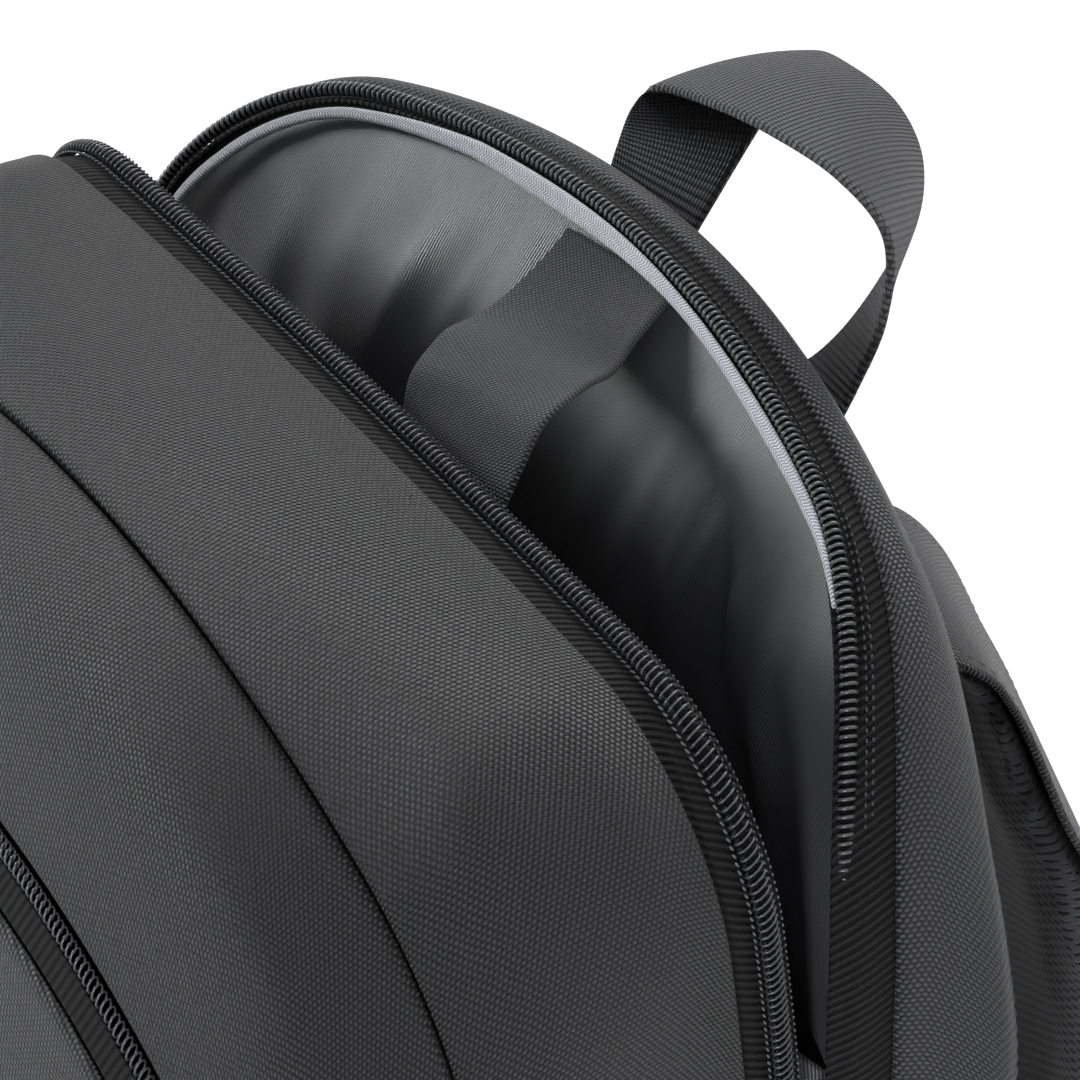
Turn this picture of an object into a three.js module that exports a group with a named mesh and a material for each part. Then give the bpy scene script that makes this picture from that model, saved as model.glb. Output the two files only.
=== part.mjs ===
// Rucksack standing on its base, rear compartment unzipped. Millimetres, +Z up, -Y is the front.
import * as THREE from 'three';

// Cloth, webbing and zip sizes
const SEAM_GAP = 0.3;
const CLOTH = 1.6;
const TAPE = 1.1;
const LINING = 1.2;
const WALL = 2.4;
const FOOT = 22;
const COIL = { wide: 4.2, high: 3.0 };
const BINDING = { wide: 6.4, high: 2.6, from: 0.235 };
const ELASTIC = { wide: 38, high: 1.6 };
const HANDLE_THICK = 2.4;
const WEBBING = { wide: 24.5, high: 1.2 };
const STRAP_FACE = 1.8;
const PAD_FRONT = 9.6;
const PAD_REAR = 36.6;
const LINING_AT = 7.6;
const POCKET_BULGE = 20;
const WALL_BELLY = 12;

// How far back the two rims of the rear zip lie at each height
const PROFILE = [
  { z: 0, front: 14.0, back: 20.0 },
  { z: 140, front: 14.0, back: 20.5 },
  { z: 220, front: 14.0, back: 23.0 },
  { z: 300, front: 13.4, back: 24.5 },
  { z: 335, front: 11.6, back: 24.0 },
  { z: 355, front: 9.1, back: 23.8 },
  { z: 375, front: 6.1, back: 25.6 },
  { z: 395, front: 3.0, back: 31.6 },
  { z: 415, front: 0.0, back: 42.7 },
  { z: 435, front: -3.0, back: 58.4 },
  { z: 455, front: -6.0, back: 76.0 },
];

// Arched lines round the front of the bag, by running distance from the rear zip's front coil
const FRONT_LINES = [
  { at: 0, dy: 0, half: 142, top: 415, crown: 2500, corner: 42 },
  { at: 9.5, dy: -9, half: 143.5, top: 416.5, crown: 1500, corner: 44 },
  { at: 24, dy: -23, half: 146.5, top: 421, crown: 700, corner: 51 },
  { at: 48, dy: -47.5, half: 146.5, top: 423, crown: 320, corner: 61 },
  { at: 67, dy: -66, half: 142, top: 418, crown: 210, corner: 68 },
  { at: 95, dy: -88.5, half: 138, top: 405, crown: 185, corner: 66 },
  { at: 130, dy: -107, half: 122, top: 374, crown: 172, corner: 60 },
  { at: 142, dy: -113, half: 112, top: 361, crown: 165, corner: 56 },
];

// Arched lines round the back, by running distance from the rear zip's back coil
const BACK_LINES = [
  { at: 0, dy: 0, half: 142, top: 435.4, crown: 347, corner: 76 },
  { at: 9.6, dy: 8.1, half: 147, top: 434.4, crown: 344, corner: 75 },
  { at: 18, dy: 15.5, half: 150.5, top: 432.6, crown: 344, corner: 75 },
  { at: 34, dy: 28.5, half: 153.5, top: 421, crown: 344, corner: 75 },
  { at: 45, dy: 35, half: 151, top: 409, crown: 342, corner: 72 },
];

const SEAMS = { tape: 9.5, first: 67, zip: 130, zipEdge: 142, backTape: 9.6, backEdge: 45 };

// Edges of the padded back at its front and rear faces
const PAD_LINES = {
  front: { half: 143.4, top: 406, crown: 338, corner: 68 },
  rear: { half: 148.6, top: 407, crown: 340, corner: 71 },
};

// Soft folds of the back lining, across the bag
const FOLDS = [
  { x: -104, wide: 10, deep: 2.4 },
  { x: -66, wide: 13, deep: 3.2 },
  { x: -28, wide: 9, deep: 2.2 },
  { x: 18, wide: 12, deep: 2.6 },
  { x: 52, wide: 10, deep: 3.4 },
  { x: 82, wide: 9, deep: 3.0 },
  { x: 108, wide: 8, deep: 2.6 },
];

// Side lining: how far out its front edge, its fold and its back edge lie, and its height
const SIDE_FOLD = { near: 138.6, mid: 131, far: 135.2, high: 330 };

// Middle of the retaining strap, from the back lining to the compartment wall
const ELASTIC_ROWS = [
  { x: 4, y: 47.6, z: 424.2, tilt: 0.0 },
  { x: 4.6, y: 41, z: 420.2, tilt: 0.04 },
  { x: 8, y: 31, z: 417.2, tilt: 0.12 },
  { x: 14, y: 20, z: 418.6, tilt: 0.12 },
  { x: 19.5, y: 11.5, z: 417.0, tilt: 0.06 },
  { x: 23.5, y: 6.4, z: 410.5, tilt: 0.0 },
  { x: 25.5, y: 2.4, z: 402, tilt: 0.0 },
  { x: 26.5, y: -2.6, z: 394, tilt: 0.0 },
  { x: 27, y: -5.6, z: 386, tilt: 0.0 },
];

// The two edges of the grab handle's webbing, from its left sewn end to its right one
const HANDLE_ROWS = [
  { ax: -37, ay: 69.0, az: 396, bx: -9, by: 69.0, bz: 396 },
  { ax: -37, ay: 74.0, az: 404, bx: -9, by: 74.0, bz: 404 },
  { ax: -37, ay: 78.6, az: 413, bx: -9, by: 79.2, bz: 413 },
  { ax: -38, ay: 82, az: 424, bx: -11, by: 89, bz: 424 },
  { ax: -41, ay: 87, az: 433, bx: -28, by: 114, bz: 433 },
  { ax: -38, ay: 90, az: 438, bx: -38, by: 126.5, bz: 436 },
  { ax: -20, ay: 90, az: 443, bx: -24, by: 127, bz: 441 },
  { ax: 0, ay: 90, az: 447, bx: -8, by: 127, bz: 441 },
  { ax: 26, ay: 90, az: 448, bx: 4, by: 124, bz: 435 },
  { ax: 44, ay: 90, az: 444, bx: 15, by: 116, bz: 428 },
  { ax: 49, ay: 87, az: 432, bx: 26, by: 102, bz: 419 },
  { ax: 48, ay: 82, az: 418, bx: 29, by: 90, bz: 410 },
  { ax: 48, ay: 74.4, az: 404, bx: 27, by: 75.6, bz: 403 },
  { ax: 48, ay: 69.0, az: 396, bx: 27, by: 69.0, bz: 396 },
];

// Middle of the shoulder strap's woven face, down from the band's edge, with its turn, tilt and padding
const STRAP_ROWS = [
  { x: 73, y: 71.4, z: 400.2, wide: 36, turn: 0.12, tilt: 0.2, pad: 2 },
  { x: 72.4, y: 80.5, z: 397, wide: 40, turn: 0.16, tilt: 0.16, pad: 3 },
  { x: 71.6, y: 90.5, z: 389, wide: 46, turn: 0.23, tilt: 0.1, pad: 5 },
  { x: 71, y: 101.5, z: 374, wide: 53, turn: 0.3, tilt: 0.04, pad: 8 },
  { x: 70, y: 113.5, z: 352, wide: 60, turn: 0.34, tilt: 0, pad: 10 },
  { x: 70, y: 127, z: 322, wide: 64, turn: 0.32, tilt: 0, pad: 10 },
  { x: 72, y: 134.5, z: 284, wide: 64, turn: 0.26, tilt: 0, pad: 10 },
  { x: 77, y: 134.5, z: 242, wide: 60, turn: 0.18, tilt: 0, pad: 10 },
  { x: 83, y: 126, z: 202, wide: 53, turn: 0.1, tilt: 0, pad: 10 },
  { x: 88, y: 113.5, z: 168, wide: 45, turn: 0.04, tilt: 0, pad: 10 },
  { x: 92, y: 101, z: 142, wide: 36, turn: 0, tilt: 0, pad: 10 },
];

// Strap adjuster, and how the webbing winds through it: down its plate and out from it
const LOCK = { wide: 34, high: 26, thick: 3, bar: 3, slot: 27.6 };
const LOCK_WEAVE = [
  { down: -11.4, out: -3.1 },
  { down: -5.7, out: 0 },
  { down: 0, out: 3.2 },
  { down: 5.7, out: 0 },
  { down: 11.4, out: -3.2 },
  { down: 18, out: -3.4 },
];

// Lower webbing, from the strap adjuster to the foot of the back
const WEBBING_ROWS = [
  { x: 97, y: 76.5, z: 98 },
  { x: 103, y: 68.5, z: 76 },
  { x: 109, y: 60, z: 52 },
  { x: 113, y: 57.0, z: 36 },
  { x: 115, y: 55.0, z: 28 },
];

// Where the base tray's edge follows the back and front lines
const FOOT_PLACES = { back: [45, 34, 18, 9.6, 3], front: [3, 9.5, 24, 48, 67, 95, 130, 142] };

// Rings of the base tray: how far in from the bag's foot, and how high
const BASE_RINGS = [
  { by: 12, z: 0 },
  { by: 4.5, z: 4.2 },
  { by: 1, z: 12 },
  { by: 0, z: 21.6 },
  { by: 2.2, z: 21.6 },
  { by: 3.4, z: 12.6 },
  { by: 7.2, z: 5.6 },
  { by: 13.5, z: 2.5 },
];

// Zip slider with its pull: right half of its outline, its thickness and its height up the zip
const SLIDER = { thick: 2.6, z: 36, place: 0.06 };
const SLIDER_HALF = [
  { x: 5, y: -8 },
  { x: 6, y: 4 },
  { x: 3, y: 8 },
  { x: 3, y: 26 },
];

// Share of each half of an arched line that is its upright side, and side and corner together
const ARCH = { side: 0.45, corner: 0.72 };

const v3 = (x, y, z) => new THREE.Vector3(x, y, z);

// Smooth value of one column of a table at a place in its first column
function smooth(rows, key, place, column) {
  const last = rows.length - 1;
  let i = 0;
  while (i < last - 1 && place > rows[i + 1][key]) i += 1;
  const slope = (k) => {
    const a = rows[Math.max(k - 1, 0)];
    const b = rows[Math.min(k + 1, last)];
    return (b[column] - a[column]) / (b[key] - a[key]);
  };
  const p = rows[i];
  const q = rows[i + 1];
  const span = q[key] - p[key];
  const t = (place - p[key]) / span;
  const t2 = t * t;
  const t3 = t2 * t;
  const from = p[column] * (2 * t3 - 3 * t2 + 1) + q[column] * (3 * t2 - 2 * t3);
  return from + span * (slope(i) * (t3 - 2 * t2 + t) + slope(i + 1) * (t3 - t2));
}

const profile = (z, column) => smooth(PROFILE, 'z', z, column);

// A point of an arched line: two upright sides, two round corners and a crowned top
function archPoint(line, u) {
  const { half, top, crown, corner } = line;
  const mid = top - crown;
  const spring = mid + Math.sqrt((crown - corner) ** 2 - (half - corner) ** 2);
  const meet = Math.atan2(spring - mid, half - corner);
  const side = u < 0.5 ? -1 : 1;
  const s = 1 - Math.abs(2 * u - 1);
  if (s < ARCH.side) {
    return { x: side * half, z: FOOT + (spring - FOOT) * (s / ARCH.side), nx: side, nz: 0 };
  }
  const round = s < ARCH.corner;
  const turn = (s - ARCH.side) / (ARCH.corner - ARCH.side);
  const rise = (s - ARCH.corner) / (1 - ARCH.corner);
  const a = round ? meet * turn : meet + (Math.PI / 2 - meet) * rise;
  const nx = side * Math.cos(a);
  const nz = Math.sin(a);
  if (round) {
    return { x: side * (half - corner) + corner * nx, z: spring + corner * nz, nx, nz };
  }
  return { x: crown * nx, z: mid + crown * nz, nx, nz };
}

function lineAt(lines, at) {
  const line = {};
  for (const column of ['dy', 'half', 'top', 'crown', 'corner']) {
    line[column] = smooth(lines, 'at', at, column);
  }
  return line;
}

// A point of the bag's outer skin, and which way is out
function skinPoint(lines, column, at, u) {
  const line = lineAt(lines, at);
  const p = archPoint(line, u);
  return v3(p.x, profile(p.z, column) + line.dy, p.z);
}

function skinOut(lines, column, at, u) {
  const e = 0.0015;
  const along = skinPoint(lines, column, at, Math.min(u + e, 1));
  along.sub(skinPoint(lines, column, at, Math.max(u - e, 0)));
  const across = skinPoint(lines, column, at + 0.4, u).sub(skinPoint(lines, column, at - 0.4, u));
  const out = along.cross(across).normalize();
  const p = archPoint(lineAt(lines, at), u);
  return out.x * p.nx + out.z * p.nz < 0 ? out.negate() : out;
}

// One closed mesh from corner points and faces, with its faces turned outward
function solid(name, points, faces, colour) {
  let volume = 0;
  for (const [a, b, c] of faces) {
    volume += points[a].dot(points[b].clone().cross(points[c]));
  }
  const order = volume < 0 ? faces.map(([a, b, c]) => [a, c, b]) : faces;
  const geometry = new THREE.BufferGeometry();
  const numbers = points.flatMap((p) => [p.x, p.y, p.z]);
  geometry.setAttribute('position', new THREE.Float32BufferAttribute(numbers, 3));
  geometry.setIndex(order.flat());
  geometry.computeVertexNormals();
  const mesh = new THREE.Mesh(geometry, new THREE.MeshStandardMaterial({ color: colour, roughness: 0.85 }));
  mesh.name = name;
  return mesh;
}

// A closed sheet from two grids of points of one size
function sheet(name, outer, inner, colour) {
  const rows = outer.length;
  const columns = outer[0].length;
  const count = rows * columns;
  const points = [...outer.flat(), ...inner.flat()];
  const faces = [];
  const quad = (a, b, c, d) => faces.push([a, b, c], [a, c, d]);
  const id = (i, j) => i * columns + j;
  for (let i = 0; i < rows - 1; i += 1) {
    for (let j = 0; j < columns - 1; j += 1) {
      quad(id(i, j), id(i + 1, j), id(i + 1, j + 1), id(i, j + 1));
      quad(count + id(i, j), count + id(i, j + 1), count + id(i + 1, j + 1), count + id(i + 1, j));
    }
  }
  for (let i = 0; i < rows - 1; i += 1) {
    quad(id(i, 0), count + id(i, 0), count + id(i + 1, 0), id(i + 1, 0));
    const j = columns - 1;
    quad(id(i, j), id(i + 1, j), count + id(i + 1, j), count + id(i, j));
  }
  for (let j = 0; j < columns - 1; j += 1) {
    quad(id(0, j), id(0, j + 1), count + id(0, j + 1), count + id(0, j));
    const i = rows - 1;
    quad(id(i, j), count + id(i, j), count + id(i, j + 1), id(i, j + 1));
  }
  return solid(name, points, faces, colour);
}

// A closed body from loops of one size, shut by a point at each end
function loops(name, rings, start, end, colour) {
  const n = rings[0].length;
  const points = [...rings.flat(), start, end];
  const first = rings.length * n;
  const faces = [];
  for (let k = 0; k < n; k += 1) {
    const m = (k + 1) % n;
    for (let i = 0; i < rings.length - 1; i += 1) {
      faces.push([i * n + k, i * n + m, (i + 1) * n + m], [i * n + k, (i + 1) * n + m, (i + 1) * n + k]);
    }
    const tail = (rings.length - 1) * n;
    faces.push([first, m, k], [first + 1, tail + k, tail + m]);
  }
  return solid(name, points, faces, colour);
}

// A band of the outer skin between two seams
function skinBand(name, lines, column, from, to, across, thick, colour, along = 40) {
  const outer = [];
  const inner = [];
  for (let i = 0; i <= along; i += 1) {
    const rowOut = [];
    const rowIn = [];
    for (let j = 0; j <= across; j += 1) {
      const at = from + (to - from) * (j / across);
      const p = skinPoint(lines, column, at, i / along);
      rowOut.push(p);
      rowIn.push(p.clone().addScaledVector(skinOut(lines, column, at, i / along), -thick));
    }
    outer.push(rowOut);
    inner.push(rowIn);
  }
  return sheet(name, outer, inner, colour);
}

// A bar swept through frames of middle, side and up, with its corners cut where cut is above 0
function sweep(name, frames, colour, cut = 0) {
  const rings = frames.map(({ p, side, up, wide, high }) => {
    const w = wide / 2;
    const h = high / 2;
    const c = high * cut;
    const square = [[w, -h], [w, h], [-w, h], [-w, -h]];
    const eased = [
      [w, c - h], [w, h - c], [w - c, h], [c - w, h],
      [-w, h - c], [-w, c - h], [c - w, -h], [w - c, -h],
    ];
    const outline = cut > 0 ? eased : square;
    return outline.map(([a, b]) => p.clone().addScaledVector(side, a).addScaledVector(up, b));
  });
  return loops(name, rings, frames[0].p.clone(), frames[frames.length - 1].p.clone(), colour);
}

// A bar that follows one line of the outer skin, lifted outward
function skinBar(name, lines, column, at, size, lift, colour, from = 0, to = 1, along = 40) {
  const frames = [];
  for (let i = 0; i <= along; i += 1) {
    const u = from + (to - from) * (i / along);
    const up = skinOut(lines, column, at, u);
    const p = skinPoint(lines, column, at, u).addScaledVector(up, lift);
    const next = skinPoint(lines, column, at, Math.min(u + 0.002, 1));
    next.sub(skinPoint(lines, column, at, Math.max(u - 0.002, 0)));
    const side = next.cross(up).normalize();
    frames.push({ p, side, up, wide: size.wide, high: size.high });
  }
  return sweep(name, frames, colour);
}

// Middle, side and up of a strap, from table rows and a side direction for each row
function strapFrames(rows, count, sideAt) {
  const last = rows.length - 1;
  const table = rows.map((row, i) => ({ ...row, step: i }));
  const point = (s) => v3(...['x', 'y', 'z'].map((axis) => smooth(table, 'step', s, axis)));
  const frames = [];
  for (let i = 0; i <= count; i += 1) {
    const s = (last * i) / count;
    const along = point(Math.min(s + 0.02, last)).sub(point(Math.max(s - 0.02, 0))).normalize();
    const wanted = sideAt((column) => smooth(table, 'step', s, column));
    const side = wanted.addScaledVector(along, -wanted.dot(along)).normalize();
    const up = side.clone().cross(along).normalize();
    frames.push({ p: point(s), side, up, s, read: (column) => smooth(table, 'step', s, column) });
  }
  return frames;
}

// A panel that closes an arch: rings from its middle to its edge, with a front and a rear face
function archPanel(name, lineFront, lineRear, rings, around, frontAt, rearAt, colour) {
  const footSteps = Math.round(around / 4);
  const edgeOf = (line) => {
    const edge = [];
    for (let k = 0; k <= around; k += 1) edge.push(archPoint(line, k / around));
    for (let k = 1; k < footSteps; k += 1) {
      edge.push({ x: line.half * (1 - (2 * k) / footSteps), z: FOOT });
    }
    return edge;
  };
  const mid = FOOT + (lineFront.top - FOOT) * 0.5;
  const ring = (line, r, yAt) => edgeOf(line).map((e) => {
    const x = e.x * r;
    const z = mid + (e.z - mid) * r;
    return v3(x, yAt(x, z, r), z);
  });
  const steps = [];
  for (let i = 1; i <= rings; i += 1) steps.push(Math.sin((i / rings) * (Math.PI / 2)));
  const front = steps.map((r) => ring(lineFront, r, frontAt));
  const rear = steps.map((r) => ring(lineRear, r, rearAt)).reverse();
  const start = v3(0, frontAt(0, mid, 0), mid);
  const end = v3(0, rearAt(0, mid, 0), mid);
  return loops(name, [...front, ...rear], start, end, colour);
}

// The same arched line, drawn in by a distance
function inset(line, by) {
  const drawn = { ...line };
  for (const column of ['half', 'top', 'crown', 'corner']) drawn[column] -= by;
  return drawn;
}

const pieces = [];
const front = [FRONT_LINES, 'front'];
const back = [BACK_LINES, 'back'];
const coilEdge = COIL.wide / 2 + SEAM_GAP;
const gap = SEAM_GAP / 2;

// Front half of the rear zip, main gusset, front panel and front zip
pieces.push(skinBar('rear_zip_coil_front', ...front, 0, COIL, 0.2, 0x26272a));
pieces.push(skinBand('rear_zip_tape_front', ...front, coilEdge, SEAMS.tape - gap, 1, TAPE, 0x2b2c2f));
pieces.push(skinBand('main_gusset', ...front, SEAMS.tape + gap, SEAMS.first - gap, 5, CLOTH, 0x424347));
pieces.push(skinBand('front_panel', ...front, SEAMS.first + gap, SEAMS.zip - gap, 4, CLOTH, 0x424347));
const zipMid = SEAMS.zip + coilEdge + 0.6;
pieces.push(skinBar('front_zip_coil', ...front, zipMid, COIL, -0.4, 0x26272a));
const zipTapeFrom = zipMid + coilEdge + 0.2;
pieces.push(skinBand('front_zip_tape', ...front, zipTapeFrom, SEAMS.zipEdge - gap, 1, TAPE, 0x2b2c2f));

// Pocket face inside the front zip
const pocketLine = inset(lineAt(FRONT_LINES, SEAMS.zipEdge), 1.5);
const pocketEdge = (z) => profile(z, 'front') + lineAt(FRONT_LINES, SEAMS.zipEdge).dy - 0.9;
const pocketFront = (x, z, r) => {
  const low = 1 - 0.35 * ((z - FOOT) / (pocketLine.top - FOOT));
  return pocketEdge(z) - POCKET_BULGE * low * (1 - r ** 3.2);
};
const pocketRear = (x, z, r) => pocketFront(x, z, r) + CLOTH;
pieces.push(archPanel('front_pocket', pocketLine, pocketLine, 5, 36, pocketFront, pocketRear, 0x424347));

// Wall between the main space and the rear compartment
const wallLine = inset(lineAt(FRONT_LINES, SEAMS.tape), CLOTH + 0.6);
const wallRear = (x, z, r) => profile(z, 'front') - 6.2 - WALL_BELLY * (1 - r ** 4);
const wallFront = (x, z, r) => wallRear(x, z, r) - WALL;
pieces.push(archPanel('compartment_wall', wallLine, wallLine, 3, 36, wallFront, wallRear, 0x77787b));

// Back half of the rear zip, edge band and padding
pieces.push(skinBar('rear_zip_coil_back', ...back, 0, COIL, 0.2, 0x26272a));
const backTapeFrom = coilEdge / 0.75;
pieces.push(skinBand('rear_zip_tape_back', ...back, backTapeFrom, SEAMS.backTape - gap, 1, TAPE, 0x2b2c2f));
pieces.push(skinBand('back_band', ...back, SEAMS.backTape + gap, SEAMS.backEdge, 5, CLOTH, 0x424347));
const padFront = (x, z) => profile(z, 'back') + PAD_FRONT;
const padRear = (x, z, r) => profile(z, 'back') + PAD_REAR - 3.6 * r ** 6;
pieces.push(archPanel('back_pad', PAD_LINES.front, PAD_LINES.rear, 4, 36, padFront, padRear, 0x232426));

// Lining on the padded back, drawn forward to the zip at its edge, and the binding on that edge
const liningLine = inset(lineAt(BACK_LINES, 0), 5);
const foldAt = (x, z) => {
  const fade = Math.min(1, Math.max(0, (z - FOOT) / 120));
  return fade * FOLDS.reduce((sum, f) => sum + f.deep * Math.exp(-(((x - f.x) / f.wide) ** 2)), 0);
};
const liningRear = (x, z, r) => profile(z, 'back') + LINING_AT - 5.4 * r ** 8 - foldAt(x, z);
const liningFront = (x, z, r) => liningRear(x, z, r) - LINING;
pieces.push(archPanel('back_lining', liningLine, liningLine, 5, 52, liningFront, liningRear, 0x8d8f92));
const bindingLine = inset(liningLine, 1);
const bindingFrames = [];
for (let i = 0; i <= 48; i += 1) {
  const e = archPoint(bindingLine, BINDING.from + ((1 - 2 * BINDING.from) * i) / 48);
  const lean = (profile(e.z + 1, 'back') - profile(e.z - 1, 'back')) / 2;
  const side = v3(e.nx, lean * e.nz, e.nz).normalize();
  const up = v3(e.nz, 0, -e.nx).cross(side).normalize();
  if (up.y < 0) up.negate();
  const lift = BINDING.high / 2 + SEAM_GAP + 0.6;
  const p = v3(e.x, liningFront(e.x, e.z, 1), e.z).addScaledVector(up, -lift);
  bindingFrames.push({ p, side, up, ...BINDING });
}
pieces.push(sweep('lining_binding', bindingFrames, 0xc4c6c8));

// Folded lining between the two halves at each side
for (const [name, sign] of [['side_gusset_left', -1], ['side_gusset_right', 1]]) {
  const outer = [];
  const inner = [];
  for (let i = 0; i <= 10; i += 1) {
    const z = FOOT + 2 + (SIDE_FOLD.high * i) / 10;
    const near = profile(z, 'front') - 5.2;
    const far = profile(z, 'back') + 0.9;
    const ys = { near, mid: (near + far) / 2, far };
    const fold = ['near', 'mid', 'far'].map((key) => ({ x: SIDE_FOLD[key], y: ys[key] }));
    const drop = (f) => z - (SIDE_FOLD.near - f.x) * (i / 10);
    outer.push(fold.map((f) => v3(sign * f.x, f.y, drop(f))));
    inner.push(fold.map((f) => v3(sign * (f.x - LINING), f.y, drop(f))));
  }
  pieces.push(sheet(name, outer, inner, 0x8d8f92));
}

// Retaining strap
const elastic = strapFrames(ELASTIC_ROWS, 26, (read) => v3(1, 0, read('tilt')));
pieces.push(sweep('retaining_strap', elastic.map((f) => ({ ...f, ...ELASTIC })), 0x66676a));

// Grab handle: a web between two edges
const handleTable = HANDLE_ROWS.map((row, i) => ({ ...row, step: i }));
const axes = ['x', 'y', 'z'];
const handleAt = (edge, s) => v3(...axes.map((axis) => smooth(handleTable, 'step', s, edge + axis)));
const handleFrames = [];
const handleSteps = 42;
for (let i = 0; i <= handleSteps; i += 1) {
  const s = ((HANDLE_ROWS.length - 1) * i) / handleSteps;
  const near = handleAt('a', s);
  const far = handleAt('b', s);
  const p = near.clone().add(far).multiplyScalar(0.5);
  const side = far.clone().sub(near);
  const wide = side.length();
  side.normalize();
  const ahead = Math.min(s + 0.05, HANDLE_ROWS.length - 1);
  const behind = Math.max(s - 0.05, 0);
  const along = handleAt('a', ahead).sub(handleAt('a', behind));
  along.add(handleAt('b', ahead)).sub(handleAt('b', behind));
  const up = side.clone().cross(along).normalize();
  handleFrames.push({ p, side, up, wide, high: HANDLE_THICK });
}
pieces.push(sweep('grab_handle', handleFrames, 0x3a3b3e));

// Shoulder straps with their adjusters and lower webbing
for (const [end, sign] of [['left', -1], ['right', 1]]) {
  const rows = STRAP_ROWS.map((row) => ({ ...row, x: row.x * sign }));
  const frames = strapFrames(rows, 20, (read) => v3(1, -sign * read('turn'), -sign * read('tilt')));
  const out = (f) => (f.up.y < 0 ? f.up.clone().negate() : f.up.clone());
  const face = frames.map((f) => ({ ...f, wide: f.read('wide'), high: STRAP_FACE }));
  pieces.push(sweep(`shoulder_strap_${end}`, face, 0x424347));
  const depthAt = (f) => STRAP_FACE / 2 + SEAM_GAP + 0.3 + f.read('pad') / 2;
  const pad = frames.map((f) => {
    const p = f.p.clone().addScaledVector(out(f), -depthAt(f));
    return { ...f, p, wide: f.read('wide') - 2, high: f.read('pad') };
  });
  pieces.push(sweep(`shoulder_pad_${end}`, pad.reverse(), 0x1d1e20, 0.25));

  const tail = frames[frames.length - 1];
  const before = frames[frames.length - 2];
  const down = tail.p.clone().sub(before.p).normalize();
  const plate = v3(1, 0, 0).addScaledVector(down, -down.x).normalize();
  const lift = plate.clone().cross(down).normalize();
  if (lift.y < 0) lift.negate();
  const middle = tail.p.clone().addScaledVector(down, LOCK.high / 2 + 0.5);
  middle.addScaledVector(lift, -depthAt(tail));
  const shape = new THREE.Shape();
  const w = LOCK.wide / 2;
  const h = LOCK.high / 2;
  shape.moveTo(-w, -h).lineTo(w, -h).lineTo(w, h).lineTo(-w, h).closePath();
  const slotHigh = (LOCK.high - 3 * LOCK.bar) / 2;
  for (const at of [-h + LOCK.bar, LOCK.bar / 2]) {
    const hole = new THREE.Path();
    const s = LOCK.slot / 2;
    hole.moveTo(-s, at).lineTo(-s, at + slotHigh).lineTo(s, at + slotHigh).lineTo(s, at).closePath();
    shape.holes.push(hole);
  }
  const lockBody = new THREE.ExtrudeGeometry(shape, { depth: LOCK.thick, bevelEnabled: false });
  lockBody.translate(0, 0, -LOCK.thick / 2);
  const turn = new THREE.Matrix4().makeBasis(plate, plate.clone().cross(lift).negate(), lift);
  lockBody.applyMatrix4(turn);
  lockBody.translate(middle.x, middle.y, middle.z);
  const lockFinish = new THREE.MeshStandardMaterial({ color: 0x1b1c1e, roughness: 0.5 });
  const lock = new THREE.Mesh(lockBody, lockFinish);
  lock.name = `ladder_lock_${end}`;
  pieces.push(lock);

  const webbing = LOCK_WEAVE.map((row) => {
    const p = middle.clone().addScaledVector(down, row.down).addScaledVector(lift, row.out);
    return { x: p.x, y: p.y, z: p.z };
  });
  for (const row of WEBBING_ROWS) webbing.push({ ...row, x: row.x * sign });
  const web = strapFrames(webbing, 46, () => plate.clone());
  pieces.push(sweep(`strap_webbing_${end}`, web.map((f) => ({ ...f, ...WEBBING })), 0x3a3b3e));
}

// Base tray under all of the walls
const footRight = [];
for (const at of FOOT_PLACES.back) {
  const line = lineAt(BACK_LINES, at);
  footRight.push({ x: line.half, y: profile(FOOT, 'back') + line.dy });
}
for (const at of FOOT_PLACES.front) {
  const line = lineAt(FRONT_LINES, at);
  footRight.push({ x: line.half, y: profile(FOOT, 'front') + line.dy });
}
const footLoop = [...footRight];
const frontSteps = 8;
const frontY = pocketFront(0, FOOT, 1);
for (let k = 1; k < frontSteps; k += 1) {
  footLoop.push({ x: pocketLine.half * (1 - (2 * k) / frontSteps), y: frontY });
}
footLoop.push(...[...footRight].reverse().map((p) => ({ x: -p.x, y: p.y })));
const backY = padRear(0, FOOT, 1);
for (let k = 1; k < frontSteps; k += 1) {
  footLoop.push({ x: PAD_LINES.rear.half * ((2 * k) / frontSteps - 1), y: backY });
}
const baseMid = (frontY + backY) / 2;
const baseRings = BASE_RINGS.map(({ by, z }) => footLoop.map((p) => {
  const reach = Math.hypot(p.x, p.y - baseMid);
  const k = 1 - by / reach;
  return v3(p.x * k, baseMid + (p.y - baseMid) * k, z);
}));
pieces.push(loops('base_panel', baseRings, v3(0, baseMid, 0), v3(0, baseMid, 2.5), 0x35363a));

// Zip sliders at the lower ends of the zips
function slider(name, place, out, along) {
  const outline = SLIDER_HALF.map(({ x, y }) => new THREE.Vector2(x, y));
  const other = SLIDER_HALF.map(({ x, y }) => new THREE.Vector2(-x, y)).reverse();
  const shape = new THREE.Shape([...outline, ...other]);
  const body = new THREE.ExtrudeGeometry(shape, { depth: SLIDER.thick, bevelEnabled: false });
  body.applyMatrix4(new THREE.Matrix4().makeBasis(along.clone().cross(out).normalize(), along, out));
  body.translate(place.x, place.y, place.z);
  const mesh = new THREE.Mesh(body, new THREE.MeshStandardMaterial({ color: 0x1b1c1e, roughness: 0.4 }));
  mesh.name = name;
  return mesh;
}
const zipMiddle = (profile(FOOT, 'front') + profile(FOOT, 'back')) / 2;
for (const [end, sign] of [['left', -1], ['right', 1]]) {
  const place = v3(sign * (FRONT_LINES[0].half + COIL.high / 2 + 1.2 + SEAM_GAP), zipMiddle, SLIDER.z);
  pieces.push(slider(`rear_zip_slider_${end}`, place, v3(sign, 0, 0), v3(0, 0, 1)));
}
const zipOut = skinOut(...front, zipMid, SLIDER.place);
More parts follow.
